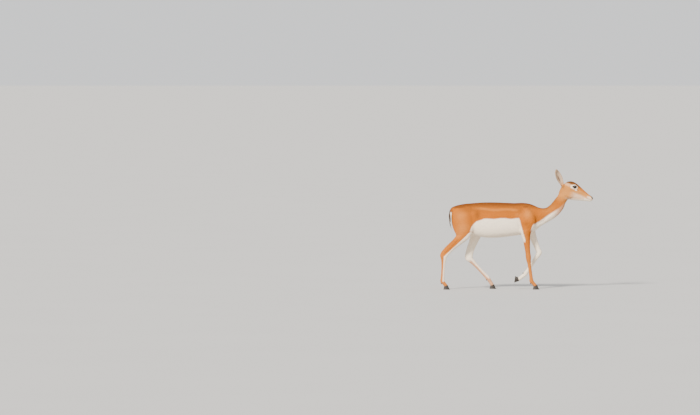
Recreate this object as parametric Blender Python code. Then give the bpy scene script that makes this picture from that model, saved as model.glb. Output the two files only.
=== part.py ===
"""A blackbuck doe in mid walk, life size, as a museum would show her.

Metres. +X is the way she faces, +Y is her left and +Z is up. She stands on three feet, with her left forefoot
lifted. The flesh is one smooth form, raised from lofted sections, and is then parted by thin flat cuts into the
parts a person would name. At the end everything is moved so that the origin lies under the middle of her box.
"""

import math

import bmesh
import bpy
import numpy as np
from mathutils import Matrix, Vector

# Driving sizes
GAP = 0.0003
VOXEL = 0.003
FLESH_FACES = 6600
HEAD_COARSENESS = 0.85
COARSENESS_FACTOR = 0.00002
RING_POINTS = 40
STEPS = 6
SEED = 5

# Trunk sections, rump to chest: x, top, belly, half width, how far the widest level lies above the middle
TRUNK = (
    (-0.405, 0.648, 0.606, 0.018, 0.0),
    (-0.388, 0.666, 0.545, 0.044, 0.1),
    (-0.350, 0.681, 0.497, 0.064, 0.1),
    (-0.300, 0.692, 0.472, 0.072, 0.1),
    (-0.240, 0.698, 0.450, 0.074, 0.0),
    (-0.180, 0.703, 0.430, 0.081, -0.1),
    (-0.120, 0.706, 0.419, 0.090, -0.15),
    (-0.040, 0.706, 0.417, 0.097, -0.15),
    (0.040, 0.703, 0.423, 0.096, -0.15),
    (0.120, 0.700, 0.434, 0.088, -0.2),
    (0.190, 0.702, 0.443, 0.074, -0.25),
    (0.250, 0.692, 0.450, 0.060, -0.25),
    (0.300, 0.668, 0.482, 0.047, -0.1),
    (0.340, 0.655, 0.520, 0.030, 0.0),
)

# Neck sections: nape x and z, throat x and z, half width
NECK = (
    (0.225, 0.690, 0.250, 0.480, 0.050),
    (0.270, 0.684, 0.300, 0.490, 0.050),
    (0.318, 0.664, 0.350, 0.522, 0.045),
    (0.368, 0.661, 0.415, 0.558, 0.041),
    (0.408, 0.687, 0.474, 0.603, 0.037),
    (0.440, 0.725, 0.515, 0.655, 0.034),
    (0.473, 0.770, 0.535, 0.704, 0.033),
    (0.500, 0.815, 0.560, 0.738, 0.034),
)

# Head sections in the head's own frame: along, top, jaw, half width, rise of the widest level
HEAD = (
    (0.006, -0.026, -0.078, 0.026, 0.1),
    (0.016, 0.006, -0.088, 0.032, 0.2),
    (0.034, 0.035, -0.0935, 0.037, 0.3),
    (0.060, 0.0510, -0.0955, 0.040, 0.35),
    (0.0915, 0.0555, -0.0935, 0.041, 0.35),
    (0.1215, 0.0500, -0.0875, 0.038, 0.3),
    (0.150, 0.0415, -0.0780, 0.032, 0.15),
    (0.180, 0.0320, -0.0665, 0.0270, 0.0),
    (0.210, 0.0220, -0.0545, 0.0245, -0.1),
    (0.238, 0.0145, -0.0445, 0.0235, -0.1),
    (0.260, 0.0110, -0.0365, 0.0205, -0.1),
    (0.275, 0.0060, -0.0280, 0.0150, 0.0),
    (0.283, -0.0020, -0.0190, 0.0080, 0.0),
)
HEAD_PLACE = (0.500, 0.0, 0.854)
HEAD_DROP = math.radians(24.6)

# Rounded masses of the head, mirrored: centre and radii, each as along, sideways and up
HEAD_MASSES = (
    ((0.100, 0.033, 0.0230), (0.034, 0.0165, 0.0230)),
    ((0.140, 0.024, 0.0000), (0.044, 0.0095, 0.0130)),
    ((0.084, 0.023, -0.0460), (0.046, 0.0155, 0.0370)),
    ((0.261, 0.013, -0.0010), (0.017, 0.0100, 0.0105)),
    ((0.254, 0.011, -0.0180), (0.026, 0.0115, 0.0100)),
    ((0.248, 0.004, -0.0310), (0.026, 0.0120, 0.0080)),
)

# Eye in the head's frame, how far it looks ahead and up, half sizes of the lids' opening and its slant
EYE = (0.1005, 0.0345, 0.0195)
EYE_RADIUS = 0.0165
EYE_AHEAD = math.radians(22)
EYE_UP = math.radians(8)
EYE_OPENING = (0.0172, 0.0094)
EYE_SLANT = math.radians(-12)
LID_SLIMMING = 0.25
LID_PRISM = (0.0045, 0.045)
LID_POINTS = 20
LID_DEPTH = 0.0026
EYE_SEGMENTS = 18
EYE_RINGS = 10

# Mouth line and nostril in the head's frame: corner and front, then nostril centre, radii and tilt
MOUTH_CORNER = (0.224, 0.0235, -0.0215)
MOUTH_FRONT = (0.2835, 0.0, -0.0090)
MOUTH_DEPTH = 0.0038
MOUTH_GAP = 0.0014
MOUTH_STATIONS = 19
MOUTH_OUTREACH = 0.008
MOUTH_HEART = 0.020
MOUTH_SQUARENESS = 0.8
NOSTRIL = (0.267, 0.0165, 0.0010)
NOSTRIL_RADII = (0.0080, 0.0060, 0.0026)
NOSTRIL_TILT = math.radians(38)

# Ear: base, way to the tip, way its cup faces, and at shares of its length the half width and half turn
EAR_BASE = (0.5060, 0.0350, 0.8440)
EAR_WAY = (-0.048, 0.048, 0.128)
EAR_FACES = (0.42, 1.0, 0.0)
EAR_LENGTH = 0.143
EAR_SHAPE = (
    (0.00, 0.0115, 2.45),
    (0.12, 0.0150, 2.25),
    (0.28, 0.0215, 1.90),
    (0.48, 0.0250, 1.60),
    (0.68, 0.0225, 1.35),
    (0.84, 0.0160, 1.15),
    (0.94, 0.0088, 1.00),
    (1.00, 0.0022, 0.90),
)
EAR_THICKNESS = 0.0022
EAR_ROOT = (0.004, 0.0165, 0.0260)
EAR_BOW = 0.006
EAR_DEPTH = 0.017
EAR_ROWS = 11
EAR_COLUMNS = 9
EAR_SEAM = 0.020
EAR_REGION_INNER = 0.022
EAR_REGION_FRONT = 0.535
EAR_REGION_LOWEST = 0.800

# Tail: line of its dock as x and z with half thickness and half width, then where its hair ends
DOCK = (
    (-0.386, 0.642, 0.0100, 0.0130),
    (-0.396, 0.639, 0.0095, 0.0130),
    (-0.4030, 0.624, 0.0078, 0.0120),
    (-0.4060, 0.600, 0.0060, 0.0110),
    (-0.4045, 0.570, 0.0050, 0.0090),
    (-0.4015, 0.545, 0.0034, 0.0060),
)
TAIL_END = (-0.3870, 0.468)
TAIL_LOCKS = 14
LOCK_LENGTH = 0.090
LOCK_WIDTH = 0.0085
LOCK_THICKNESS = 0.0022
TAIL_SPREAD = 0.015
LOCK_TAPER = (0.6, 0.95, 1.0, 0.9, 0.7, 0.42, 0.08)
LOCK_THINNEST = 0.25
LOCK_ROOT_SPREAD = 0.0075
LOCK_BOW = 0.0035
LOCK_STAND_OFF = 0.001
TAIL_ROOTS = (0.628, 0.546)

# The flat that the tail hangs against, in the cleft between the haunches
SEAT = (-0.3985, 0.0, 0.650)
SEAT_NORMAL = (1.0, 0.0, 0.13)
CLEFT_HALF_WIDTH = 0.021
CLEFT_FOOT = 0.460

# Shoulder and upper arm: front x and z, back x and z, sideways place, half width, share of the elbow's swing
SHOULDER = (
    (0.232, 0.672, 0.168, 0.668, 0.034, 0.014, 0.0),
    (0.262, 0.630, 0.150, 0.615, 0.048, 0.024, 0.0),
    (0.288, 0.578, 0.146, 0.560, 0.058, 0.031, 0.2),
    (0.286, 0.528, 0.152, 0.505, 0.060, 0.034, 0.5),
    (0.262, 0.482, 0.164, 0.462, 0.060, 0.032, 0.9),
    (0.244, 0.440, 0.181, 0.428, 0.058, 0.027, 1.0),
    (0.240, 0.400, 0.196, 0.392, 0.057, 0.022, 1.0),
)

# Thigh: front x and z, back x and z, sideways place, half width, share of the stifle's swing
THIGH = (
    (-0.262, 0.672, -0.366, 0.664, 0.036, 0.022, 0.0),
    (-0.226, 0.618, -0.392, 0.622, 0.050, 0.036, 0.1),
    (-0.210, 0.556, -0.3955, 0.568, 0.056, 0.042, 0.35),
    (-0.212, 0.498, -0.388, 0.512, 0.058, 0.041, 0.7),
    (-0.228, 0.450, -0.368, 0.460, 0.059, 0.035, 1.0),
    (-0.262, 0.408, -0.345, 0.425, 0.060, 0.028, 1.0),
)

# Lower limbs: bone, share along it, reach ahead, reach behind, half width
HIND_GIRTHS = (
    (0, 0.00, 0.034, 0.078, 0.033),
    (0, 0.18, 0.029, 0.064, 0.032),
    (0, 0.40, 0.020, 0.053, 0.027),
    (0, 0.64, 0.014, 0.051, 0.020),
    (0, 0.84, 0.016, 0.048, 0.0165),
    (0, 0.94, 0.021, 0.043, 0.0180),
    (1, 0.02, 0.024, 0.034, 0.0195),
    (1, 0.12, 0.021, 0.024, 0.0170),
    (1, 0.28, 0.0165, 0.0185, 0.0138),
    (1, 0.60, 0.0145, 0.0165, 0.0120),
    (1, 0.86, 0.0145, 0.0175, 0.0132),
    (1, 0.98, 0.0160, 0.0200, 0.0154),
    (2, 0.45, 0.0142, 0.0148, 0.0140),
    (2, 1.00, 0.0150, 0.0150, 0.0165),
    (2, 1.35, 0.0150, 0.0150, 0.0165),
)
FORE_GIRTHS = (
    (0, -0.10, 0.033, 0.045, 0.027),
    (0, 0.10, 0.031, 0.045, 0.028),
    (0, 0.32, 0.0255, 0.0345, 0.0230),
    (0, 0.60, 0.0205, 0.0270, 0.0185),
    (0, 0.84, 0.0195, 0.0225, 0.0178),
    (0, 0.97, 0.0220, 0.0225, 0.0195),
    (1, 0.08, 0.0195, 0.0220, 0.0180),
    (1, 0.22, 0.0150, 0.0175, 0.0138),
    (1, 0.55, 0.0135, 0.0155, 0.0120),
    (1, 0.86, 0.0140, 0.0165, 0.0132),
    (1, 0.98, 0.0158, 0.0198, 0.0154),
    (2, 0.45, 0.0142, 0.0148, 0.0140),
    (2, 1.00, 0.0150, 0.0150, 0.0165),
    (2, 1.35, 0.0150, 0.0150, 0.0165),
)

# Joints of each lower limb from the top: x, sideways place, z. The last is the middle of the coronet
LEGS = {
    "hind_right": ((-0.268, 0.060, 0.440), (-0.455, 0.066, 0.266), (-0.466, 0.067, 0.066), (-0.438, 0.068, 0.0310)),
    "hind_left": ((-0.165, 0.060, 0.472), (-0.244, 0.066, 0.246), (-0.094, 0.072, 0.088), (-0.060, 0.074, 0.0310)),
    "fore_right": ((0.214, 0.057, 0.462), (0.229, 0.056, 0.262), (0.256, 0.055, 0.066), (0.286, 0.055, 0.0310)),
    "fore_left": ((0.254, 0.057, 0.476), (0.323, 0.056, 0.291), (0.206, 0.052, 0.117), (0.153, 0.051, 0.0790)),
}
# How far each foot is pitched from lying flat on the ground, toe down
FOOT_PITCH = {"hind_right": 0.0, "hind_left": 0.0, "fore_right": 0.0, "fore_left": math.radians(98)}
STIFLE_SWING = {"hind_right": (0.0, 0.0), "hind_left": (0.100, 0.032)}
ELBOW_SWING = {"fore_right": (0.0, 0.0), "fore_left": (0.040, 0.014)}

# Where neighbouring forms are blended much, then a little: centre, radius, mirrored or not
BLENDS = (
    ((-0.300, 0.060, 0.620), 0.100, True),
    ((-0.230, 0.070, 0.520), 0.085, True),
    ((-0.340, 0.030, 0.500), 0.085, True),
    ((-0.290, 0.050, 0.430), 0.060, True),
    ((-0.190, 0.060, 0.450), 0.060, True),
    ((0.220, 0.060, 0.600), 0.110, True),
    ((0.200, 0.050, 0.450), 0.075, True),
    ((0.290, 0.040, 0.520), 0.090, True),
    ((-0.170, 0.060, 0.470), 0.075, True),
    ((-0.240, 0.050, 0.420), 0.060, True),
    ((0.340, 0.000, 0.610), 0.110, False),
    ((0.500, 0.000, 0.780), 0.065, False),
)
FACE_BLENDS = (
    ((0.509, 0.036, 0.846), 0.045, True),
    ((0.585, 0.035, 0.815), 0.075, True),
    ((0.640, 0.025, 0.795), 0.060, True),
    ((0.565, 0.025, 0.750), 0.070, True),
    ((0.720, 0.010, 0.735), 0.050, True),
)
BODY_ROUNDS = 40
FACE_ROUNDS = 9

# Places of the seams, and planes that keep one limb's cuts off the rest of the animal
NAPE_SEAM = (0.495, 0.0, 0.835)
NECK_SEAM = (0.3915, 0.0, 0.610)
WAIST = 0.05
LEG_CEILING = 0.36
THIGH_CEILING = 0.47
THIGH_CUTS = ((0.042, 0.500, 0.30), (-0.212, -0.15), 0.664)
SHOULDER_CUTS = ((0.040, 0.480, 0.22), 0.152, (0.300, 0.25), 0.655)
FOOT_SEAM = 0.90
FOREARM_SEAM = -0.06
UPPER_SEAM = 0.30

# Claws in the foot's own frame, whose origin is on the ground under the coronet
CORONET_HEIGHT = 0.031
CORONET_SLOPE = math.radians(22)
SOLE = (-0.0225, 0.0325, 0.0165)
CROWN = (-0.0165, 0.0150, 0.0155)
CLAW_PARTING = 0.0008
CLAW_POINTS = 16
CLAW_SLIMMING = 0.42
CLAW_EDGE_HEIGHT = 0.0045
CLAW_EDGE = (0.97, 0.94, 0.99)
CLAW_FULLNESS = 1.03
DEWCLAW = (0.0052, 0.0140)
DEWCLAW_PLACE = (0.0178, 0.006, 0.0085)
DEWCLAW_LEAN = 0.9
DEWCLAW_TIP = 0.35

# Colour and roughness by the first word of a node's name
FINISHES = {
    "torso": ((0.62, 0.33, 0.12, 1.0), 0.85),
    "neck": ((0.64, 0.38, 0.18, 1.0), 0.85),
    "head": ((0.72, 0.52, 0.33, 1.0), 0.80),
    "ear": ((0.70, 0.60, 0.50, 1.0), 0.85),
    "eye": ((0.02, 0.012, 0.01, 1.0), 0.08),
    "tail": ((0.16, 0.10, 0.06, 1.0), 0.90),
    "shoulder": ((0.62, 0.35, 0.15, 1.0), 0.85),
    "thigh": ((0.64, 0.37, 0.16, 1.0), 0.85),
    "forearm": ((0.66, 0.42, 0.20, 1.0), 0.85),
    "gaskin": ((0.66, 0.42, 0.20, 1.0), 0.85),
    "cannon": ((0.68, 0.48, 0.28, 1.0), 0.85),
    "foot": ((0.66, 0.48, 0.30, 1.0), 0.85),
    "hoof": ((0.05, 0.04, 0.035, 1.0), 0.45),
}


def clear_scene():
    """Leaves an empty scene."""
    for old in list(bpy.data.objects):
        bpy.data.objects.remove(old)


def finish_material(name, colour, roughness):
    """A plain finish in the part's colour."""
    made = bpy.data.materials.new(name)
    made.use_nodes = True
    shader = made.node_tree.nodes["Principled BSDF"]
    shader.inputs["Base Color"].default_value = colour
    shader.inputs["Roughness"].default_value = roughness
    shader.inputs["Metallic"].default_value = 0.0
    return made


def new_object(name, mesh):
    """An object in the scene with this mesh."""
    made = bpy.data.objects.new(name, mesh)
    bpy.context.scene.collection.objects.link(made)
    return made


def helper(name, mesh):
    """A cutter or a guide, which isn't part of the animal."""
    made = new_object(name, mesh)
    made.hide_render = True
    made.display_type = "WIRE"
    return made


def evaluated_mesh(item):
    """The item's mesh with its modifiers applied."""
    bpy.context.view_layer.update()
    graph = bpy.context.evaluated_depsgraph_get()
    return bpy.data.meshes.new_from_object(item.evaluated_get(graph))


def filled_in(rows, steps):
    """The rows with smooth in-between rows, by cubic spans through their columns."""
    rows = np.array(rows, float)
    along = np.concatenate([[0], np.cumsum(np.linalg.norm(np.diff(rows[:, :4], axis=0), axis=1))])
    slopes = np.gradient(rows, along, axis=0)
    out = []
    for i in range(len(rows) - 1):
        span = along[i + 1] - along[i]
        for t in np.arange(steps) / steps:
            out.append(
                (2 * t**3 - 3 * t**2 + 1) * rows[i]
                + (t**3 - 2 * t**2 + t) * span * slopes[i]
                + (3 * t**2 - 2 * t**3) * rows[i + 1]
                + (t**3 - t**2) * span * slopes[i + 1]
            )
    return np.array(out + [rows[-1]])


def section(upper, lower, middle_y, half_width, rise=0.0):
    """A ring round two facing profile points, widest at rise of the half depth above the middle."""
    upper, lower = np.array(upper, float), np.array(lower, float)
    middle, half = (upper + lower) / 2, (upper - lower) / 2
    ring = []
    for turn in np.arange(RING_POINTS) * 2 * math.pi / RING_POINTS:
        lift = math.cos(turn) + rise * math.sin(turn) ** 2
        x, z = middle + half * lift
        ring.append((x, middle_y + half_width * math.sin(turn), z))
    return ring


def add_loft(form, rings, place=None):
    """A closed skin over the rings."""
    place = place or Matrix.Identity(4)
    loops = [[form.verts.new(place @ Vector(p)) for p in ring] for ring in rings]
    count = len(loops[0])
    for low, high in zip(loops, loops[1:]):
        for i in range(count):
            j = (i + 1) % count
            form.faces.new((low[i], low[j], high[j], high[i]))
    form.faces.new(loops[0][::-1])
    form.faces.new(loops[-1])


def add_ball(form, centre, radii, place=None):
    """An egg-shaped mass."""
    place = place or Matrix.Identity(4)
    shape = place @ Matrix.Translation(centre) @ Matrix.Diagonal((*radii, 1.0))
    bmesh.ops.create_icosphere(form, subdivisions=4, radius=1.0, matrix=shape)


def head_matrix():
    """From the head's own frame, along, sideways and up, to the animal's."""
    return Matrix.Translation(HEAD_PLACE) @ Matrix.Rotation(HEAD_DROP, 4, "Y")


def eye_matrix(side):
    """The eye's frame in the head's: its X looks outwards, Y runs backwards or forwards and Z up."""
    turn = Matrix.Rotation(side * (math.pi / 2 - EYE_AHEAD), 4, "Z")
    return Matrix.Translation((EYE[0], side * EYE[1], EYE[2])) @ turn @ Matrix.Rotation(-EYE_UP, 4, "Y")


def ear_base(side):
    """The middle of the ear's root."""
    return Vector((EAR_BASE[0], side * EAR_BASE[1], EAR_BASE[2]))


def ear_axes(side):
    """The ear's way to its tip, the way its cup faces and the way across it."""
    way = Vector((EAR_WAY[0], side * EAR_WAY[1], EAR_WAY[2])).normalized()
    faces = Vector((EAR_FACES[0], side * EAR_FACES[1], EAR_FACES[2]))
    faces = (faces - faces.dot(way) * way).normalized()
    return way, faces, way.cross(faces)


def add_ear_root(form, side):
    """The firm root of an ear, an egg along the ear."""
    way = ear_axes(side)[0]
    lift, width, length = EAR_ROOT
    turn = way.to_track_quat("Z", "Y").to_matrix().to_4x4()
    place = Matrix.Translation(ear_base(side) + way * lift) @ turn
    add_ball(form, (0, 0, 0), (width, width, length), place)


def leg_side(name):
    """1 on the animal's left and -1 on her right."""
    return 1 if name.endswith("left") else -1


def leg_joints(name):
    """The lower limb's joints in space."""
    side = leg_side(name)
    return [Vector((x, side * y, z)) for x, y, z in LEGS[name]]


def girths_of(name):
    """The girth table of a limb."""
    return HIND_GIRTHS if name.startswith("hind") else FORE_GIRTHS


def limb_rings(name):
    """Rings round a lower limb, each square to the limb there."""
    joints = leg_joints(name)
    bones = [(b - a).normalized() for a, b in zip(joints, joints[1:])]
    rows = []
    for bone, share, ahead, behind, half_width in girths_of(name):
        start, end = joints[bone], joints[bone + 1]
        centre = start.lerp(end, share)
        way = bones[bone].copy()
        blend = 0.25
        if share < blend and bone > 0:
            way = bones[bone - 1].lerp(way, 0.5 + share / blend / 2)
        if share > 1 - blend and bone < len(bones) - 1:
            way = way.lerp(bones[bone + 1], (share - 1 + blend) / blend / 2)
        way.normalize()
        front = Vector((-way.z, 0, way.x)).normalized()
        upper, lower = centre + ahead * front, centre - behind * front
        rows.append((upper.x, upper.z, lower.x, lower.z, centre.y, half_width))
    return [section(r[:2], r[2:4], r[4], r[5]) for r in filled_in(rows, STEPS)]


def swung_rings(rows, swing, side):
    """Rings of a shoulder or thigh whose lower end is swung with the limb."""
    moved = []
    for x1, z1, x2, z2, y, half_width, share in rows:
        dx, dz = swing[0] * share, swing[1] * share
        moved.append((x1 + dx, z1 + dz, x2 + dx, z2 + dz, side * y, half_width))
    return [section(r[:2], r[2:4], r[4], r[5]) for r in filled_in(moved, STEPS)]


def raise_flesh():
    """All the forms of the flesh in one mesh, still overlapping."""
    form = bmesh.new()
    trunk = [(x, top, x, low, width, rise) for x, top, low, width, rise in TRUNK]
    add_loft(form, [section(r[:2], r[2:4], 0, r[4], r[5]) for r in filled_in(trunk, STEPS)])
    add_loft(form, [section(r[:2], r[2:4], 0, r[4]) for r in filled_in(NECK, STEPS)])
    place = head_matrix()
    head = [(u, top, u, low, width, rise) for u, top, low, width, rise in HEAD]
    add_loft(form, [section(r[:2], r[2:4], 0, r[4], r[5]) for r in filled_in(head, STEPS)], place)
    for side in (-1, 1):
        for (u, y, v), radii in HEAD_MASSES:
            add_ball(form, (u, side * y, v), radii, place)
        lid = EYE_RADIUS + LID_DEPTH
        add_ball(form, (EYE[0], side * EYE[1], EYE[2]), (lid, lid, lid), place)
        add_ear_root(form, side)
    for name, swing in ELBOW_SWING.items():
        add_loft(form, swung_rings(SHOULDER, swing, leg_side(name)))
    for name, swing in STIFLE_SWING.items():
        add_loft(form, swung_rings(THIGH, swing, leg_side(name)))
    for name in LEGS:
        add_loft(form, limb_rings(name))
    return mesh_of(form, "flesh")


def vertex_places(mesh):
    """The mesh's points as rows."""
    places = np.empty(len(mesh.vertices) * 3)
    mesh.vertices.foreach_get("co", places)
    return places.reshape(-1, 3)


def relaxed(mesh, rounds, weight, shrink_back):
    """Moves each point towards its neighbours' mean, by its weight, and for a shape kept full, back again."""
    places = vertex_places(mesh)
    ends = np.empty(len(mesh.edges) * 2, int)
    mesh.edges.foreach_get("vertices", ends)
    a, b = ends.reshape(-1, 2).T
    count = np.bincount(ends, minlength=len(places))[:, None]
    for _ in range(rounds):
        for step in (0.5, -0.52)[: 1 + shrink_back]:
            total = np.zeros_like(places)
            for axis in range(3):
                total[:, axis] = np.bincount(a, places[b, axis], len(places)) + np.bincount(
                    b, places[a, axis], len(places)
                )
            places += (total / count - places) * weight[:, None] * step
    mesh.vertices.foreach_set("co", places.ravel())
    mesh.update()


def blend_weight(places, blends):
    """1 where forms meet and are blended, falling to 0 away from there."""
    weight = np.zeros(len(places))
    for centre, radius, mirrored in blends:
        for side in (1, -1)[: 1 + mirrored]:
            middle = np.array(centre) * (1, side, 1)
            near = np.clip(1 - np.linalg.norm(places - middle, axis=1) / radius, 0, 1)
            weight = np.maximum(weight, np.clip(near * 2.5, 0, 1))
    return weight


def smooth_flesh():
    """The flesh as one closed surface with its forms blended, in few enough faces."""
    rough = helper("rough_flesh", raise_flesh())
    remesh = rough.modifiers.new("remesh", "REMESH")
    remesh.mode = "VOXEL"
    remesh.voxel_size = VOXEL
    mesh = evaluated_mesh(rough)
    places = vertex_places(mesh)
    relaxed(mesh, BODY_ROUNDS, blend_weight(places, BLENDS), False)
    relaxed(mesh, FACE_ROUNDS, blend_weight(places, FACE_BLENDS), False)
    relaxed(mesh, 6, np.ones(len(mesh.vertices)), True)
    fine = helper("fine_flesh", mesh)
    reduce_faces(fine)
    made = evaluated_mesh(fine)
    for used in (rough, fine):
        bpy.data.objects.remove(used)
    return made


def reduce_faces(item):
    """Fewer faces, kept closest on the head."""
    places = vertex_places(item.data)
    along = (places - np.array(HEAD_PLACE)) @ np.array((math.cos(HEAD_DROP), 0, -math.sin(HEAD_DROP)))
    group = item.vertex_groups.new(name="coarse")
    face = (along > 0.0) & (places[:, 2] > 0.68)
    group.add(np.flatnonzero(face).tolist(), HEAD_COARSENESS, "REPLACE")
    group.add(np.flatnonzero(~face).tolist(), 1.0, "REPLACE")
    fewer = item.modifiers.new("fewer", "DECIMATE")
    fewer.ratio = FLESH_FACES / (2 * len(item.data.polygons))
    fewer.vertex_group = group.name
    fewer.vertex_group_factor = COARSENESS_FACTOR
    fewer.use_collapse_triangulate = True


def mesh_of(form, name):
    """The form as a mesh, facing outwards."""
    bmesh.ops.recalc_face_normals(form, faces=form.faces)
    mesh = bpy.data.meshes.new(name)
    form.to_mesh(mesh)
    form.free()
    return mesh


def region(planes, shift):
    """A large block cut down to the side of each plane that its normal points away from."""
    form = bmesh.new()
    bmesh.ops.create_cube(form, size=6.0)
    for point, normal in planes:
        normal = Vector(normal).normalized()
        cut = bmesh.ops.bisect_plane(
            form,
            geom=form.verts[:] + form.edges[:] + form.faces[:],
            plane_co=Vector(point) + shift * normal,
            plane_no=normal,
            clear_outer=True,
        )
        edges = [e for e in cut["geom_cut"] if isinstance(e, bmesh.types.BMEdge)]
        bmesh.ops.contextual_create(form, geom=edges)
    return helper("region", mesh_of(form, "region"))


def combined(mesh, other, operation):
    """The mesh joined with, cut by or kept inside another object, which is then removed."""
    item = helper("working", mesh)
    boolean = item.modifiers.new("combine", "BOOLEAN")
    boolean.operation = operation
    boolean.solver = "EXACT"
    boolean.object = other
    made = evaluated_mesh(item)
    bpy.data.objects.remove(item)
    bpy.data.objects.remove(other)
    return largest_body(made)


def largest_body(mesh):
    """The mesh with only its largest closed surface."""
    form = bmesh.new()
    form.from_mesh(mesh)
    left = set(form.faces)
    bodies = []
    while left:
        body, frontier = set(), [left.pop()]
        while frontier:
            face = frontier.pop()
            body.add(face)
            for edge in face.edges:
                for beside in edge.link_faces:
                    if beside in left:
                        left.discard(beside)
                        frontier.append(beside)
        bodies.append(body)
    bodies.sort(key=lambda faces: sum(f.calc_area() for f in faces))
    dropped = [face for body in bodies[:-1] for face in body]
    bmesh.ops.delete(form, geom=dropped, context="FACES")
    loose = [v for v in form.verts if not v.link_faces]
    bmesh.ops.delete(form, geom=loose, context="VERTS")
    form.to_mesh(mesh)
    form.free()
    return mesh


def ear_sheet(form, side):
    """The cup of an ear: a sheet rolled nearly shut at its root, open above and pointed at its tip."""
    way, faces, across = ear_axes(side)
    shares = [row[0] for row in EAR_SHAPE]
    inner, outer = [], []
    for t in np.linspace(0, 1, EAR_ROWS):
        half_width = np.interp(t, shares, [row[1] for row in EAR_SHAPE])
        half_turn = np.interp(t, shares, [row[2] for row in EAR_SHAPE])
        radius = half_width / math.sin(min(half_turn, math.pi / 2))
        bow = EAR_BOW * math.sin(math.pi * t)
        deepest = min(radius, EAR_DEPTH)
        centre = ear_base(side) + way * EAR_LENGTH * t - faces * bow
        thickness = EAR_THICKNESS * (1 - 0.55 * t)
        for rows, size in ((outer, radius), (inner, radius - min(thickness, 0.6 * radius))):
            row = []
            for turn in np.linspace(-half_turn, half_turn, EAR_COLUMNS):
                depth = -math.cos(turn) * size * deepest / radius
                row.append(form.verts.new(centre + across * math.sin(turn) * size + faces * depth))
            rows.append(row)
    for k in range(EAR_ROWS - 1):
        for i in range(EAR_COLUMNS - 1):
            form.faces.new((outer[k][i], outer[k][i + 1], outer[k + 1][i + 1], outer[k + 1][i]))
            form.faces.new((inner[k][i], inner[k + 1][i], inner[k + 1][i + 1], inner[k][i + 1]))
        for i in (0, -1):
            form.faces.new((outer[k][i], outer[k + 1][i], inner[k + 1][i], inner[k][i]))
    for row_out, row_in in ((outer[0], inner[0]), (outer[-1], inner[-1])):
        for i in range(EAR_COLUMNS - 1):
            form.faces.new((row_out[i], row_in[i], row_in[i + 1], row_out[i + 1]))


def add_dewclaws(form, name):
    """Two small claws behind a fetlock."""
    joints = leg_joints(name)
    pastern = (joints[3] - joints[2]).normalized()
    back = Vector((pastern.z, 0, -pastern.x)).normalized()
    radius, length = DEWCLAW
    way = (pastern + DEWCLAW_LEAN * back).normalized()
    turn = way.to_track_quat("Z", "Y").to_matrix().to_4x4()
    behind, down, aside = DEWCLAW_PLACE
    for side in (-1, 1):
        middle = joints[2] + back * behind + pastern * down + Vector((0, side * aside, 0))
        place = Matrix.Translation(middle) @ turn
        bmesh.ops.create_cone(
            form, cap_ends=True, segments=8, radius1=radius, radius2=radius * DEWCLAW_TIP, depth=length, matrix=place
        )


def additions():
    """The ears' sheets and the dewclaws, which are fused with the flesh."""
    form = bmesh.new()
    for side in (-1, 1):
        ear_sheet(form, side)
    for name in LEGS:
        add_dewclaws(form, name)
    bmesh.ops.triangulate(form, faces=form.faces)
    return helper("additions", mesh_of(form, "additions"))


def eye_ball(form, side, radius, place):
    """A ball at the eye's place."""
    shape = place @ eye_matrix(side) @ Matrix.Rotation(math.pi / 2, 4, "Y")
    bmesh.ops.create_uvsphere(form, u_segments=EYE_SEGMENTS, v_segments=EYE_RINGS, radius=radius, matrix=shape)


def sockets():
    """The balls that hollow the head for its eyes, a gap larger than them."""
    form = bmesh.new()
    for side in (-1, 1):
        eye_ball(form, side, EYE_RADIUS + GAP, head_matrix())
    return helper("sockets", mesh_of(form, "sockets"))


def add_lid_opening(form, side):
    """The almond between the lids, as a prism along the eye's line of sight."""
    place = head_matrix() @ eye_matrix(side)
    rings = []
    for depth in LID_PRISM:
        ring = []
        for turn in np.arange(LID_POINTS) * 2 * math.pi / LID_POINTS:
            ahead = EYE_OPENING[0] * math.cos(turn)
            up = EYE_OPENING[1] * math.sin(turn) * (1 - LID_SLIMMING * math.cos(turn) ** 2)
            f = ahead * math.cos(EYE_SLANT) + up * math.sin(EYE_SLANT)
            v = up * math.cos(EYE_SLANT) - ahead * math.sin(EYE_SLANT)
            ring.append((depth, -side * f, v))
        rings.append(ring)
    add_loft(form, rings, place)


def add_mouth_line(form):
    """The groove between the lips, from one corner round the front to the other."""
    place = head_matrix()
    reach = MOUTH_FRONT[0] - MOUTH_CORNER[0]
    fall = MOUTH_FRONT[2] - MOUTH_CORNER[2]
    path = []
    for turn in np.linspace(0, math.pi, MOUTH_STATIONS):
        c = math.cos(turn)
        y = MOUTH_CORNER[1] * math.copysign(abs(c) ** MOUTH_SQUARENESS, c)
        along = MOUTH_CORNER[0] + reach * math.sin(turn)
        path.append(Vector((along, y, MOUTH_CORNER[2] + fall * math.sin(turn) ** 2)))
    rings = []
    for i, point in enumerate(path):
        way = path[min(i + 1, len(path) - 1)] - path[max(i - 1, 0)]
        out = Vector((-way.y, way.x, 0)).normalized()
        out = out if out.dot(point - Vector((MOUTH_CORNER[0] - MOUTH_HEART, 0, point.z))) > 0 else -out
        half = Vector((0, 0, MOUTH_GAP / 2))
        inner, outer = point - out * MOUTH_DEPTH, point + out * MOUTH_OUTREACH
        rings.append([inner - half, outer - half, outer + half, inner + half])
    add_loft(form, rings, place)


def face_cutters():
    """The lids' openings, the nostrils and the line of the mouth."""
    form = bmesh.new()
    for side in (-1, 1):
        add_lid_opening(form, side)
        centre = Matrix.Translation((NOSTRIL[0], side * NOSTRIL[1], NOSTRIL[2]))
        tilt = Matrix.Rotation(NOSTRIL_TILT, 4, "Y")
        shape = head_matrix() @ centre @ tilt @ Matrix.Diagonal((*NOSTRIL_RADII, 1.0))
        bmesh.ops.create_icosphere(form, subdivisions=2, radius=1.0, matrix=shape)
    add_mouth_line(form)
    return helper("face_cutters", mesh_of(form, "face_cutters"))


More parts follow.
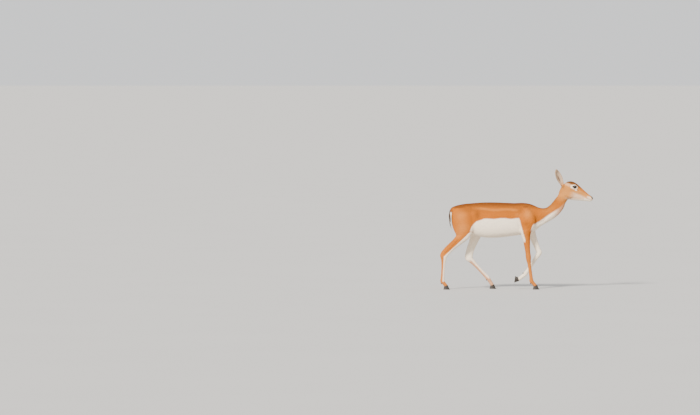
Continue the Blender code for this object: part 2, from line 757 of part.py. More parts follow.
def parted(mesh, planes):
    """The piece inside the planes and what is left outside them, with the gap between."""
    piece = combined(mesh.copy(), region(planes, -GAP / 2), "INTERSECT")
    rest = combined(mesh, region(planes, GAP / 2), "DIFFERENCE")
    return piece, rest


def lower_cut(name, bone, share, ceiling):
    """Planes that hold a limb below a point on one of its bones."""
    joints, side = leg_joints(name), leg_side(name)
    start, end = joints[bone], joints[bone + 1]
    way = (end - start).normalized()
    hind_or_fore = 1 if name.startswith("hind") else -1
    return [
        (start.lerp(end, share), -way),
        ((0, side * GAP, 0), (0, -side, 0)),
        ((WAIST, 0, 0), (hind_or_fore, 0, 0)),
        ((0, 0, ceiling), (0, 0, 1)),
    ]


def coronet_plane(name):
    """The plane where a foot's flesh meets its claws: its point and its normal, up the limb."""
    turn = Matrix.Rotation(FOOT_PITCH[name] - CORONET_SLOPE, 3, "Y")
    return leg_joints(name)[-1], turn @ Vector((0, 0, 1))


def thigh_planes(name):
    """Planes that hold a haunch: inwards of its outer face, ahead of it and above it."""
    side = leg_side(name)
    (aside, level, lean), (front, slope), top = THIGH_CUTS
    return [
        ((0, side * aside, level), (0, -side, lean)),
        ((front + STIFLE_SWING[name][0] * 0.9, 0, 0.5), (1.0, 0, slope)),
        ((0, 0, top), (0, 0, 1)),
    ]


def shoulder_planes(name):
    """Planes that hold a shoulder and upper arm."""
    side = leg_side(name)
    (aside, level, lean), back, (front, slope), top = SHOULDER_CUTS
    return [
        ((0, side * aside, level), (0, -side, lean)),
        ((back, 0, 0.5), (-1.0, 0, 0.0)),
        ((front + ELBOW_SWING[name][0], 0, 0.5), (1.0, 0, slope)),
        ((0, 0, top), (0, 0, 1)),
    ]


def ear_planes(side):
    """Planes that hold an ear above its seam."""
    way = ear_axes(side)[0]
    return [
        (ear_base(side) + way * EAR_SEAM, -way),
        ((0, side * EAR_REGION_INNER, 0), (0, -side, 0)),
        ((EAR_REGION_FRONT, 0, 0), (1, 0, 0)),
        ((0, 0, EAR_REGION_LOWEST), (0, 0, -1)),
    ]


def part_limb(nodes, whole, name):
    """Cuts a limb into its parts and returns what is left of the whole."""
    point, normal = coronet_plane(name)
    hoof_space = region([(point, normal), *lower_cut(name, 2, 0.0, LEG_CEILING)[1:]], GAP / 2)
    whole = combined(whole, hoof_space, "DIFFERENCE")
    hind = name.startswith("hind")
    nodes["foot_" + name], whole = parted(whole, lower_cut(name, 1, FOOT_SEAM, LEG_CEILING))
    knee = 0.0 if hind else FOREARM_SEAM
    nodes["cannon_" + name], whole = parted(whole, lower_cut(name, 1, knee, LEG_CEILING))
    middle = "gaskin_" if hind else "forearm_"
    nodes[middle + name], whole = parted(whole, lower_cut(name, 0, UPPER_SEAM, THIGH_CEILING))
    kind, planes = ("thigh_", thigh_planes(name)) if hind else ("shoulder_", shoulder_planes(name))
    nodes[kind + name.split("_")[1]], whole = parted(whole, planes)
    return whole


def part_flesh(whole):
    """Every node of flesh, cut from the whole from its far ends inwards."""
    nodes = {}
    nodes["ear_right"], whole = parted(whole, ear_planes(-1))
    nodes["ear_left"], whole = parted(whole, ear_planes(1))
    nodes["head"], whole = parted(whole, [(NAPE_SEAM, (-0.925, 0, -0.38)), ((0, 0, 0.66), (0, 0, -1))])
    nodes["neck"], whole = parted(whole, [(NECK_SEAM, (-0.923, 0, -0.385))])
    for name in LEGS:
        whole = part_limb(nodes, whole, name)
    nodes["torso"] = whole
    return nodes


def cleft_region(shift):
    """The room between the haunches that the tail hangs in."""
    planes = [
        (SEAT, SEAT_NORMAL),
        ((0, CLEFT_HALF_WIDTH, 0), (0, 1, 0)),
        ((0, -CLEFT_HALF_WIDTH, 0), (0, -1, 0)),
        ((0, 0, CLEFT_FOOT), (0, 0, -1)),
    ]
    return region(planes, shift)


def add_strand(form, points, widths, thicknesses, facing):
    """A flat tapered lock along the points, its broad side towards facing."""
    rings = []
    for i, point in enumerate(points):
        way = (points[min(i + 1, len(points) - 1)] - points[max(i - 1, 0)]).normalized()
        flat = (facing - facing.dot(way) * way).normalized()
        across = way.cross(flat)
        w, t = widths[i] / 2, thicknesses[i] / 2
        rings.append([point + across * w, point + flat * t, point - across * w, point - flat * t])
    add_loft(form, rings)


def dock_rings():
    """Rings round the dock of the tail."""
    rows = filled_in([(x, z, thick, wide, 0.0) for x, z, thick, wide in DOCK], 2)
    rings = []
    for i, (x, z, thick, wide, _) in enumerate(rows):
        before, after = rows[max(i - 1, 0)], rows[min(i + 1, len(rows) - 1)]
        way = Vector((after[0] - before[0], 0, after[1] - before[1])).normalized()
        out = Vector((way.z, 0, -way.x))
        ring = []
        for turn in np.arange(12) * 2 * math.pi / 12:
            ring.append(Vector((x, 0, z)) + out * thick * math.cos(turn) + Vector((0, wide * math.sin(turn), 0)))
        rings.append(ring)
    return rings


def tail():
    """The dock with the long hair that hangs from it, as locks."""
    chance = np.random.default_rng(SEED)
    pieces = bpy.data.collections.new("tail_pieces")
    bpy.context.scene.collection.children.link(pieces)
    form = bmesh.new()
    add_loft(form, dock_rings())
    bmesh.ops.triangulate(form, faces=form.faces)
    dock_mesh = mesh_of(form, "dock")
    heights = [TAIL_END[1]] + [row[1] for row in DOCK][::-1]
    lines = [TAIL_END[0]] + [row[0] for row in DOCK][::-1]
    for k in range(TAIL_LOCKS):
        side = 1 if k % 2 else -1
        share = (k + 0.5) / TAIL_LOCKS
        root_z = TAIL_ROOTS[0] + (TAIL_ROOTS[1] - TAIL_ROOTS[0]) * share
        length = LOCK_LENGTH * (0.85 + 0.3 * chance.random())
        tip_z = max(root_z - length, TAIL_END[1] + 0.012 * chance.random())
        root_y = side * LOCK_ROOT_SPREAD * (1 - 0.6 * share) * chance.uniform(0.5, 1.0)
        tip_y = side * TAIL_SPREAD * chance.uniform(0.15, 1.0)
        behind = LOCK_BOW * chance.random()
        points = []
        for t in np.linspace(0, 1, len(LOCK_TAPER)):
            z = root_z + (tip_z - root_z) * t
            x = np.interp(z, heights, lines) - behind * math.sin(math.pi * min(t * 1.4, 1)) - LOCK_STAND_OFF
            points.append(Vector((x, root_y + (tip_y - root_y) * t**1.3, z)))
        form = bmesh.new()
        widths = [LOCK_WIDTH * s for s in LOCK_TAPER]
        thick = [LOCK_THICKNESS * max(s, LOCK_THINNEST) for s in LOCK_TAPER]
        add_strand(form, points, widths, thick, Vector((-1, side * 0.5 * chance.random(), 0)))
        bmesh.ops.triangulate(form, faces=form.faces)
        lock = bpy.data.objects.new("lock", mesh_of(form, "lock"))
        pieces.objects.link(lock)
    item = helper("tail_whole", dock_mesh)
    union = item.modifiers.new("fused", "BOOLEAN")
    union.operation = "UNION"
    union.solver = "EXACT"
    union.operand_type = "COLLECTION"
    union.collection = pieces
    mesh = evaluated_mesh(item)
    bpy.data.objects.remove(item)
    for lock in list(pieces.objects):
        bpy.data.objects.remove(lock)
    bpy.data.collections.remove(pieces)
    return combined(mesh, cleft_region(-GAP / 2), "INTERSECT")


def claw_ring(heel_toe_width, side, plane):
    """A claw's outline at one level: straight on its inner side, bowed on its outer one, pointed ahead."""
    heel, toe, width = heel_toe_width
    middle, reach = (heel + toe) / 2, (toe - heel) / 2
    ring = []
    for turn in np.arange(CLAW_POINTS) * 2 * math.pi / CLAW_POINTS:
        q = math.cos(turn)
        point_in = 1 - CLAW_SLIMMING * max(q, 0) ** 1.5
        y = CLAW_PARTING + width / 2 * point_in * (1 + math.sin(turn))
        x = middle + reach * q
        ring.append((x, side * y, plane(x)))
    return ring


def claw(name, side):
    """One claw of a foot, flat below and cut to the slope of the coronet above."""
    rise = math.tan(CORONET_SLOPE)

    def crown_level(x):
        return CORONET_HEIGHT + rise * x - GAP / 2 / math.cos(CORONET_SLOPE)

    crown = claw_ring(CROWN, side, crown_level)
    edge = [size * share for size, share in zip(SOLE, CLAW_EDGE)]
    low = claw_ring(edge, side, lambda x: CLAW_EDGE_HEIGHT)
    sole = claw_ring(SOLE, side, lambda x: 0.0)
    middle = []
    for a, b in zip(low, crown):
        point = Vector(a).lerp(Vector(b), 0.5)
        middle.append((point.x * CLAW_FULLNESS, point.y * CLAW_FULLNESS, point.z))
    form = bmesh.new()
    add_loft(form, [sole, low, middle, crown])
    bmesh.ops.triangulate(form, faces=form.faces)
    made = new_object("hoof_" + ("outer_" if side == leg_side(name) else "inner_") + name, mesh_of(form, "claw"))
    coronet = Matrix.Translation(leg_joints(name)[-1])
    turn = Matrix.Rotation(FOOT_PITCH[name], 4, "Y")
    made.matrix_world = coronet @ turn @ Matrix.Translation((0, 0, -CORONET_HEIGHT))
    return made


def eye(side):
    """An eyeball."""
    form = bmesh.new()
    bmesh.ops.create_uvsphere(form, u_segments=EYE_SEGMENTS, v_segments=EYE_RINGS, radius=EYE_RADIUS)
    made = new_object("eye_left" if side == 1 else "eye_right", mesh_of(form, "eye"))
    made.matrix_world = head_matrix() @ eye_matrix(side) @ Matrix.Rotation(math.pi / 2, 4, "Y")
    return made


def middle_of_box(items):
    """The middle of the items' joint box, at its bottom."""
    bpy.context.view_layer.update()
    corners = np.array([item.matrix_world @ v.co for item in items for v in item.data.vertices])
    low, high = corners.min(axis=0), corners.max(axis=0)
    return Vector(((low[0] + high[0]) / 2, (low[1] + high[1]) / 2, low[2]))


def main():
    """Builds the animal."""
    clear_scene()
    whole = combined(smooth_flesh(), additions(), "UNION")
    whole = combined(whole, cleft_region(GAP / 2), "DIFFERENCE")
    whole = combined(whole, face_cutters(), "DIFFERENCE")
    whole = combined(whole, sockets(), "DIFFERENCE")
    items = [new_object(name, mesh) for name, mesh in part_flesh(whole).items()]
    items.append(new_object("tail", tail()))
    items += [claw(name, side) for name in LEGS for side in (-1, 1)]
    items += [eye(side) for side in (-1, 1)]
    root = bpy.data.objects.new("doe", None)
    bpy.context.scene.collection.objects.link(root)
    origin = middle_of_box(items)
    for item in items:
        item.parent = root
        item.data.materials.clear()
        item.data.materials.append(finish_material(item.name, *FINISHES[item.name.split("_")[0]]))
        item.data.shade_smooth()
        item.data.set_sharp_from_angle(angle=math.radians(50))
    root.location = -origin


main()
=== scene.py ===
"""A blackbuck doe in mid walk, life size: her skin, coat, eyes, hooves and tail over the solids of the frame.

Metres. +X is the way she faces, +Y is her left and +Z is up. Forms are made at the places of the tables, and
are then moved onto the solids. One skin stands for every node of flesh and lies inside them by the coat's
depth, and solid tufts of hair lie over it.
"""

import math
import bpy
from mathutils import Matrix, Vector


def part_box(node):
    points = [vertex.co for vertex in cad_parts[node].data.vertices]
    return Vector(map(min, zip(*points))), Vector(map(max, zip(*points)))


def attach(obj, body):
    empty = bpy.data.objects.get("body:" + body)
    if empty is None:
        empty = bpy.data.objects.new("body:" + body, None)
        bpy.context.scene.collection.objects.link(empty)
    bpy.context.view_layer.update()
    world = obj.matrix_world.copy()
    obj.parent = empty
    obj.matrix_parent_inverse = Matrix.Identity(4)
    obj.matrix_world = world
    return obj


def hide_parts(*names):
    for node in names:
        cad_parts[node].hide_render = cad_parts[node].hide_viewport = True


bl_info = {
    "name": "Walking blackbuck doe",
    "version": (1, 0, 0),
    "blender": (4, 5, 0),
    "location": "View3D > Sidebar > Blackbuck",
    "description": "Skin, coat, eyes, hooves and tail of a walking blackbuck doe",
    "category": "Add Mesh",
}

import bmesh
import bpy
import numpy as np
from bpy.props import FloatProperty, FloatVectorProperty, IntProperty, PointerProperty
from mathutils import Matrix, Vector
from mathutils.bvhtree import BVHTree

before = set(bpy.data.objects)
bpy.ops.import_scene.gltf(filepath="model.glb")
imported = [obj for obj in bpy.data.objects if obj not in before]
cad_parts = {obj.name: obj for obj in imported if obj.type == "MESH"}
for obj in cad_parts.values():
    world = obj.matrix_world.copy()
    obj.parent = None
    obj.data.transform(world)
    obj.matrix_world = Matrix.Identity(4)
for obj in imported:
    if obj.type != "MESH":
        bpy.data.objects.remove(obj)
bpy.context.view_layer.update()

# A length close to nothing, and a share far outside every mark
TINY = 1e-6
FAR = 9.0

# Seeds of the random draws
COAT_SEED = 11
LASH_SEED = 23
TAIL_SEED = 5

# Sizes of the flesh, shared with the solids
VOXEL = 0.003
RING_POINTS = 40
STEPS = 6

# Trunk sections, rump to chest: x, top, belly, half width, how far the widest level lies above the middle
TRUNK = (
    (-0.405, 0.648, 0.606, 0.018, 0.0), (-0.388, 0.666, 0.545, 0.044, 0.1),
    (-0.35, 0.681, 0.497, 0.064, 0.1), (-0.3, 0.692, 0.472, 0.072, 0.1), (-0.24, 0.698, 0.45, 0.074, 0.0),
    (-0.18, 0.703, 0.43, 0.081, -0.1), (-0.12, 0.706, 0.419, 0.09, -0.15),
    (-0.04, 0.706, 0.417, 0.097, -0.15), (0.04, 0.703, 0.423, 0.096, -0.15),
    (0.12, 0.7, 0.434, 0.088, -0.2), (0.19, 0.702, 0.443, 0.074, -0.25), (0.25, 0.692, 0.45, 0.06, -0.25),
    (0.3, 0.668, 0.482, 0.047, -0.1), (0.34, 0.655, 0.52, 0.03, 0.0),
)

# Neck sections: nape x and z, throat x and z, half width
NECK = (
    (0.225, 0.69, 0.25, 0.48, 0.05), (0.27, 0.684, 0.3, 0.49, 0.05), (0.318, 0.664, 0.35, 0.522, 0.045),
    (0.368, 0.661, 0.415, 0.558, 0.041), (0.408, 0.687, 0.474, 0.603, 0.037),
    (0.44, 0.725, 0.515, 0.655, 0.034), (0.473, 0.77, 0.535, 0.704, 0.033),
    (0.5, 0.815, 0.56, 0.738, 0.034),
)

# Head sections in the head's own frame: along, top, jaw, half width, rise of the widest level
HEAD = (
    (0.006, -0.026, -0.078, 0.026, 0.1), (0.016, 0.006, -0.088, 0.032, 0.2),
    (0.034, 0.035, -0.0935, 0.037, 0.3), (0.06, 0.051, -0.0955, 0.04, 0.35),
    (0.0915, 0.0555, -0.0935, 0.041, 0.35), (0.1215, 0.05, -0.0875, 0.038, 0.3),
    (0.15, 0.0415, -0.078, 0.032, 0.15), (0.18, 0.032, -0.0665, 0.027, 0.0),
    (0.21, 0.022, -0.0545, 0.0245, -0.1), (0.238, 0.0145, -0.0445, 0.0235, -0.1),
    (0.26, 0.011, -0.0365, 0.0205, -0.1), (0.275, 0.006, -0.028, 0.015, 0.0),
    (0.283, -0.002, -0.019, 0.008, 0.0),
)
HEAD_PLACE = (0.5, 0.0, 0.854)
HEAD_DROP = math.radians(24.6)

# Rounded masses of the head, mirrored: centre and radii, each as along, sideways and up
HEAD_MASSES = (
    ((0.1, 0.033, 0.023), (0.034, 0.0165, 0.023)), ((0.14, 0.024, 0.0), (0.044, 0.0095, 0.013)),
    ((0.084, 0.023, -0.046), (0.046, 0.0155, 0.037)), ((0.261, 0.013, -0.001), (0.017, 0.01, 0.0105)),
    ((0.254, 0.011, -0.018), (0.026, 0.0115, 0.01)), ((0.248, 0.004, -0.031), (0.026, 0.012, 0.008)),
)

# Eye in the head's frame, how far it looks ahead and up, half sizes of the lids' opening and its slant
EYE = (0.1005, 0.0345, 0.0195)
EYE_RADIUS = 0.0165
EYE_AHEAD = math.radians(22)
EYE_UP = math.radians(8)
EYE_OPENING = (0.0158, 0.0094)
EYE_SLANT = math.radians(-12)
LID_DEPTH = 0.0026

# Mouth line and nostril in the head's frame: corner and front, then nostril centre, radii and tilt
MOUTH_CORNER = (0.224, 0.0235, -0.0215)
MOUTH_FRONT = (0.2835, 0.0, -0.009)
NOSTRIL = (0.267, 0.0165, 0.001)
NOSTRIL_RADII = (0.008, 0.0026)
NOSTRIL_TILT = math.radians(38)

# Ear: base, way to the tip, way its cup faces, and at shares of its length the half width and half turn
EAR_BASE = (0.506, 0.035, 0.844)
EAR_WAY = (-0.048, 0.048, 0.128)
EAR_FACES = (0.42, 1.0, 0.0)
EAR_LENGTH = 0.143
EAR_SHAPE = (
    (0.0, 0.0115, 2.45), (0.12, 0.015, 2.25), (0.28, 0.0215, 1.9), (0.48, 0.025, 1.6), (0.68, 0.0225, 1.35),
    (0.84, 0.016, 1.15), (0.94, 0.0088, 1.0), (1.0, 0.0022, 0.9),
)
EAR_SHARES, EAR_HALVES, EAR_TURNS = zip(*EAR_SHAPE)
EAR_ROOT = (0.001, 0.015, 0.0235)
EAR_BOW = 0.006
EAR_DEPTH = 0.017

# Tail: line of its dock as x and z with half thickness and half width, then where its hair ends
DOCK = (
    (-0.386, 0.642, 0.01, 0.013), (-0.396, 0.639, 0.0095, 0.013), (-0.403, 0.624, 0.0078, 0.012),
    (-0.406, 0.6, 0.006, 0.011), (-0.4045, 0.57, 0.005, 0.009), (-0.4015, 0.545, 0.0034, 0.006),
)
TAIL_END = (-0.387, 0.468)

# Shoulder and upper arm: front x and z, back x and z, sideways place, half width, share of the elbow's swing
SHOULDER = (
    (0.232, 0.672, 0.168, 0.668, 0.034, 0.014, 0.0), (0.262, 0.63, 0.15, 0.615, 0.048, 0.024, 0.0),
    (0.288, 0.578, 0.146, 0.56, 0.058, 0.031, 0.2), (0.286, 0.528, 0.152, 0.505, 0.06, 0.034, 0.5),
    (0.262, 0.482, 0.164, 0.462, 0.06, 0.032, 0.9), (0.244, 0.44, 0.181, 0.428, 0.058, 0.027, 1.0),
    (0.24, 0.4, 0.196, 0.392, 0.057, 0.022, 1.0),
)

# Thigh: front x and z, back x and z, sideways place, half width, share of the stifle's swing
THIGH = (
    (-0.262, 0.672, -0.366, 0.664, 0.036, 0.022, 0.0), (-0.226, 0.618, -0.392, 0.622, 0.05, 0.036, 0.1),
    (-0.21, 0.556, -0.3955, 0.568, 0.056, 0.042, 0.35), (-0.212, 0.498, -0.388, 0.512, 0.058, 0.041, 0.7),
    (-0.228, 0.45, -0.368, 0.46, 0.059, 0.035, 1.0), (-0.262, 0.408, -0.345, 0.425, 0.06, 0.028, 1.0),
)

# Lower limbs: bone, share along it, reach ahead, reach behind, half width
PASTERN_GIRTHS = (
    (2, 0.45, 0.0142, 0.0148, 0.014), (2, 1.0, 0.015, 0.015, 0.0165), (2, 1.35, 0.015, 0.015, 0.0165),
)
HIND_GIRTHS = (
    (0, 0.0, 0.034, 0.078, 0.033), (0, 0.18, 0.029, 0.064, 0.032), (0, 0.4, 0.02, 0.053, 0.027),
    (0, 0.64, 0.014, 0.051, 0.02), (0, 0.84, 0.016, 0.048, 0.0165), (0, 0.94, 0.021, 0.043, 0.018),
    (1, 0.02, 0.024, 0.034, 0.0195), (1, 0.12, 0.021, 0.024, 0.017), (1, 0.28, 0.0165, 0.0185, 0.0138),
    (1, 0.6, 0.0145, 0.0165, 0.012), (1, 0.86, 0.0145, 0.0175, 0.0132), (1, 0.98, 0.016, 0.02, 0.0154),
    *PASTERN_GIRTHS,
)
FORE_GIRTHS = (
    (0, -0.1, 0.033, 0.045, 0.027), (0, 0.1, 0.031, 0.045, 0.028), (0, 0.32, 0.0255, 0.0345, 0.023),
    (0, 0.6, 0.0205, 0.027, 0.0185), (0, 0.84, 0.0195, 0.0225, 0.0178), (0, 0.97, 0.022, 0.0225, 0.0195),
    (1, 0.08, 0.0195, 0.022, 0.018), (1, 0.22, 0.015, 0.0175, 0.0138), (1, 0.55, 0.0135, 0.0155, 0.012),
    (1, 0.86, 0.014, 0.0165, 0.0132), (1, 0.98, 0.0158, 0.0198, 0.0154), *PASTERN_GIRTHS,
)
GIRTHS = {"hind": HIND_GIRTHS, "fore": FORE_GIRTHS}

# How near a joint, as a share of the bone, the sections turn from one bone to the next
BEND_REACH = 0.25

# Joints of each lower limb from the top: x, sideways place, z. The last is the middle of the coronet
LEGS = {
    "hind_right": (
        (-0.268, 0.06, 0.44), (-0.455, 0.066, 0.266), (-0.466, 0.067, 0.066), (-0.438, 0.068, 0.031),
    ),
    "hind_left": (
        (-0.165, 0.06, 0.472), (-0.244, 0.066, 0.246), (-0.094, 0.072, 0.088), (-0.06, 0.074, 0.031),
    ),
    "fore_right": (
        (0.214, 0.057, 0.462), (0.229, 0.056, 0.262), (0.256, 0.055, 0.066), (0.286, 0.055, 0.031),
    ),
    "fore_left": (
        (0.254, 0.057, 0.476), (0.323, 0.056, 0.291), (0.206, 0.052, 0.117), (0.153, 0.051, 0.079),
    ),
}

# How far each foot is pitched from lying flat on the ground, toe down
FOOT_PITCH = {"hind_right": 0.0, "hind_left": 0.0, "fore_right": 0.0, "fore_left": math.radians(98)}
STIFLE_SWING = {"hind_right": (0.0, 0.0), "hind_left": (0.1, 0.032)}
ELBOW_SWING = {"fore_right": (0.0, 0.0), "fore_left": (0.04, 0.014)}

# Where neighbouring forms are blended much, then a little: centre, radius, mirrored or not
BLENDS = (
    ((-0.3, 0.06, 0.62), 0.1, True), ((-0.23, 0.07, 0.52), 0.085, True), ((-0.34, 0.03, 0.5), 0.085, True),
    ((-0.29, 0.05, 0.43), 0.06, True), ((-0.19, 0.06, 0.45), 0.06, True), ((0.22, 0.06, 0.6), 0.11, True),
    ((0.2, 0.05, 0.45), 0.075, True), ((0.29, 0.04, 0.52), 0.09, True), ((-0.17, 0.06, 0.47), 0.075, True),
    ((-0.24, 0.05, 0.42), 0.06, True), ((0.34, 0.0, 0.61), 0.11, False), ((0.5, 0.0, 0.78), 0.065, False),
)
FACE_BLENDS = (
    ((0.509, 0.036, 0.846), 0.045, True), ((0.585, 0.035, 0.815), 0.075, True),
    ((0.64, 0.025, 0.795), 0.06, True), ((0.565, 0.025, 0.75), 0.07, True),
    ((0.72, 0.01, 0.735), 0.05, True),
)
BODY_ROUNDS = 40
FACE_ROUNDS = 9
EVEN_ROUNDS = 6
SKIN_ROUNDS = 5
EAR_ROUNDS = 16
HEAD_ROUNDS = 4
RELAX_STEPS = (0.5, -0.52)

# Claws in the foot's own frame, whose origin is on the ground under the coronet
CORONET_HEIGHT = 0.031
CORONET_SLOPE = math.radians(22)
SOLE = (-0.0225, 0.0325, 0.0165)
CROWN = (-0.0165, 0.015, 0.0155)
CLAW_PARTING = 0.0008

# A claw's sole from its heart to its edge: how far each ring is drawn in, and its height
SOLE_STEPS = ((0.6, 0.0012), (0.22, 0.0009), (0.1, 0.0), (0.02, 0.0006))

# A claw's rings, and as shares of its half width the rings of growth, the lip at its crown and its waist
CLAW_RINGS = 30
GROWTH_DEPTH = 0.0075
GROWTH_PACE = 44.0
CROWN_LIP = 0.03
CLAW_WAIST = 0.035

# Dewclaws: radius and length, how far middle and tip lie behind and below the fetlock, half their distance
DEWCLAW = (0.0052, 0.014)
DEWCLAW_MIDDLE = (0.0178, 0.006)
DEWCLAW_TIP = (0.0218, 0.0095)
DEWCLAW_APART = 0.0085
DEWCLAW_TURNS = 8

# How deep the coat lies over the skin: body, lower legs, back of the face, nose and ears
BODY_COAT = 0.0017
LEG_COAT = 0.0008
FACE_COAT = 0.0009
NOSE_COAT = 0.0003
EAR_RISE = 0.0006

# Grid of the skin, and its edge lengths: body, head, round the eyes, and at lids, lips and nostrils
SKIN_VOXEL = 0.0046
BODY_EDGE = 0.0075
HEAD_EDGE = 0.0025
EYE_EDGE = 0.0012
RIM_EDGE = 0.00062
EDGE_LEEWAY = 1.35
HALVINGS = 8
FEW_EDGES = 20

# How the skin is laid out flat
UNWRAP_ANGLE = math.radians(66)
UNWRAP_MARGIN = 0.001

# The ears' sheets
EAR_ROWS = 48
EAR_COLUMNS = 33
EAR_SHEET = 0.0015
EAR_RIDGE = 0.00035

# Folds of the lips as height, middle and width, the nostrils, and the lids over the eyeball: thickness,
# crease and fold, each for the upper lid and the lower
LIP_FOLDS = ((-0.0026, 0.0, 0.0009), (0.0006, 0.0028, 0.0018), (0.0006, -0.0026, 0.0017))
NOSTRIL_HOLLOW = 0.0058
NOSTRIL_RIM = 0.0009
LID_EDGE = 0.0006
LIDS = ((0.0024, 0.0018), (0.001, 0.0006), (0.0011, 0.0005))
POCKET = 0.004

# Strokes of muscle and bone on the body, in side view: sides, points as x and z, width and height
BOTH = (-1, 1)
STROKES = (
    (BOTH, ((0.212, 0.655), (0.24, 0.6), (0.266, 0.545)), 0.011, 0.0018),
    (BOTH, ((0.17, 0.65), (0.15, 0.575), (0.158, 0.5)), 0.012, -0.003),
    (BOTH, ((0.268, 0.538), (0.236, 0.5), (0.196, 0.488)), 0.009, -0.0022),
    (BOTH, ((0.232, 0.6), (0.19, 0.545)), 0.016, 0.0016),
    (BOTH, ((0.12, 0.612), (0.098, 0.48)), 0.0055, -0.0006),
    (BOTH, ((0.09, 0.612), (0.066, 0.475)), 0.0055, -0.0006),
    (BOTH, ((0.06, 0.61), (0.032, 0.47)), 0.0055, -0.0006),
    (BOTH, ((0.03, 0.606), (0.0, 0.47)), 0.0055, -0.0006),
    (BOTH, ((0.0, 0.6), (-0.032, 0.475)), 0.0055, -0.0005),
    (BOTH, ((-0.165, 0.63), (-0.19, 0.56)), 0.026, -0.0042),
    (BOTH, ((-0.25, 0.668), (-0.236, 0.65)), 0.014, 0.0036),
    (BOTH, ((-0.362, 0.64), (-0.376, 0.62)), 0.012, 0.0026),
    (BOTH, ((-0.34, 0.61), (-0.338, 0.52), (-0.33, 0.44)), 0.008, -0.002),
    (BOTH, ((-0.268, 0.6), (-0.262, 0.5)), 0.03, 0.0024),
    ((-1,), ((-0.222, 0.452), (-0.236, 0.44)), 0.014, 0.0022),
    ((-1,), ((-0.345, 0.395), (-0.4, 0.33), (-0.446, 0.292)), 0.0065, -0.0034),
    ((-1,), ((-0.467, 0.235), (-0.4735, 0.11)), 0.003, -0.0014),
    ((1,), ((-0.215, 0.392), (-0.245, 0.32), (-0.262, 0.282)), 0.0065, -0.0034),
    ((1,), ((-0.229, 0.212), (-0.13, 0.11)), 0.003, -0.0014),
    ((-1,), ((0.222, 0.235), (0.24, 0.11)), 0.0028, -0.0012),
    ((1,), ((0.296, 0.27), (0.222, 0.152)), 0.0028, -0.0012),
    (BOTH, ((0.52, 0.712), (0.44, 0.64), (0.35, 0.556), (0.305, 0.53)), 0.009, -0.0024),
    (BOTH, ((0.48, 0.765), (0.41, 0.665), (0.33, 0.6)), 0.014, 0.0016),
    (BOTH, ((0.42, 0.612), (0.34, 0.52)), 0.01, 0.0014),
)

# Strokes of the face in the head's frame: points as along and up, width and height
FACE_STROKES = (
    (((0.07, -0.002), (0.105, -0.006), (0.15, -0.012)), 0.005, 0.0016),
    (((0.088, -0.02), (0.15, -0.028)), 0.007, -0.0014),
    (((0.052, -0.07), (0.1, -0.066), (0.15, -0.052)), 0.008, 0.001),
    (((0.136, 0.009), (0.149, 0.005)), 0.0019, -0.002),
    (((0.134, 0.0135), (0.151, 0.0095)), 0.0018, 0.0007),
    (((0.134, 0.004), (0.151, 0.0002)), 0.0018, 0.0007),
    (((0.16, 0.018), (0.205, 0.008), (0.245, 0.003)), 0.005, -0.0012),
    (((0.16, -0.006), (0.205, -0.022), (0.222, -0.028)), 0.0016, 0.0006),
    (((0.118, -0.022), (0.16, -0.006)), 0.0014, 0.0005), (((0.118, 0.033), (0.15, 0.024)), 0.006, -0.001),
    (((0.226, -0.022), (0.214, -0.03)), 0.002, -0.0008),
)

# Borders of the white in side view, as x and z: behind the upper arm, under the flank and down the hind leg,
# and under the neck
ARM_BORDER = ((0.16, 0.577), (0.172, 0.52), (0.188, 0.472), (0.206, 0.4))
FLANK_BORDER = (
    (-0.437, 0.27), (-0.389, 0.334), (-0.324, 0.391), (-0.251, 0.456), (-0.227, 0.513), (-0.186, 0.558),
    (-0.1215, 0.572), (-0.05, 0.577), (0.159, 0.577),
)
LEFT_BORDER = (
    (-0.437, 0.3), (-0.25, 0.385), (-0.15, 0.42), (-0.13, 0.462), (-0.118, 0.515), (-0.098, 0.556),
    (-0.05, 0.574), (0.159, 0.577),
)
CHEST_BORDER = (
    (0.251, 0.4925), (0.27, 0.53), (0.3256, 0.558), (0.4, 0.613), (0.4836, 0.669), (0.53, 0.716),
    (0.556, 0.752),
)

# Areas of lighter and darker hair in side view, partly the coat's own tone and partly painted highlight on
# the muscles and painted shade in folds and hollows: x, z, reach along and up, and how much lighter
TONES_AND_PAINTED_LIGHT = (
    (-0.315, 0.6, 0.05, 0.045, 0.75), (-0.3, 0.5, 0.055, 0.05, 0.95), (-0.345, 0.44, 0.04, 0.035, 0.55),
    (0.228, 0.612, 0.034, 0.04, 0.9), (0.15, 0.606, 0.026, 0.018, 0.45), (0.395, 0.655, 0.05, 0.035, 0.55),
    (0.205, 0.45, 0.018, 0.05, 0.4), (-0.178, 0.606, 0.022, 0.036, -0.95),
    (-0.245, 0.655, 0.04, 0.02, -0.45), (0.262, 0.67, 0.05, 0.02, -0.9), (0.178, 0.655, 0.022, 0.03, -0.55),
    (0.215, 0.535, 0.028, 0.02, -0.5), (0.292, 0.585, 0.018, 0.045, -0.45),
    (-0.395, 0.59, 0.016, 0.06, -0.8), (0.03, 0.59, 0.09, 0.01, -0.3),
)

# Border of the white under the jaw, in the head's frame, as along and up
JAW_BORDER = (
    (0.0, -0.07), (0.06, -0.078), (0.12, -0.066), (0.18, -0.046), (0.222, -0.028), (0.285, -0.014),
)

# Line of the nose as along and up in the head's frame, and the notch before each ear
NOSE_LINE = ((0.09, 0.044), (0.13, 0.027), (0.16, 0.013), (0.2, 0.009), (0.25, 0.004))
EAR_NOTCH = (0.498, 0, 0.836)

# Eyeball, claws and the spread of the tail's hair
EYE_BULGE = 0.0006
EYE_CLEARANCE = 0.0002
EYE_TURNS = 48
CLAW_TURNS = 40
TAIL_FAN = 0.017
DOCK_TURNS = 12
HAIR_TURNS = 6

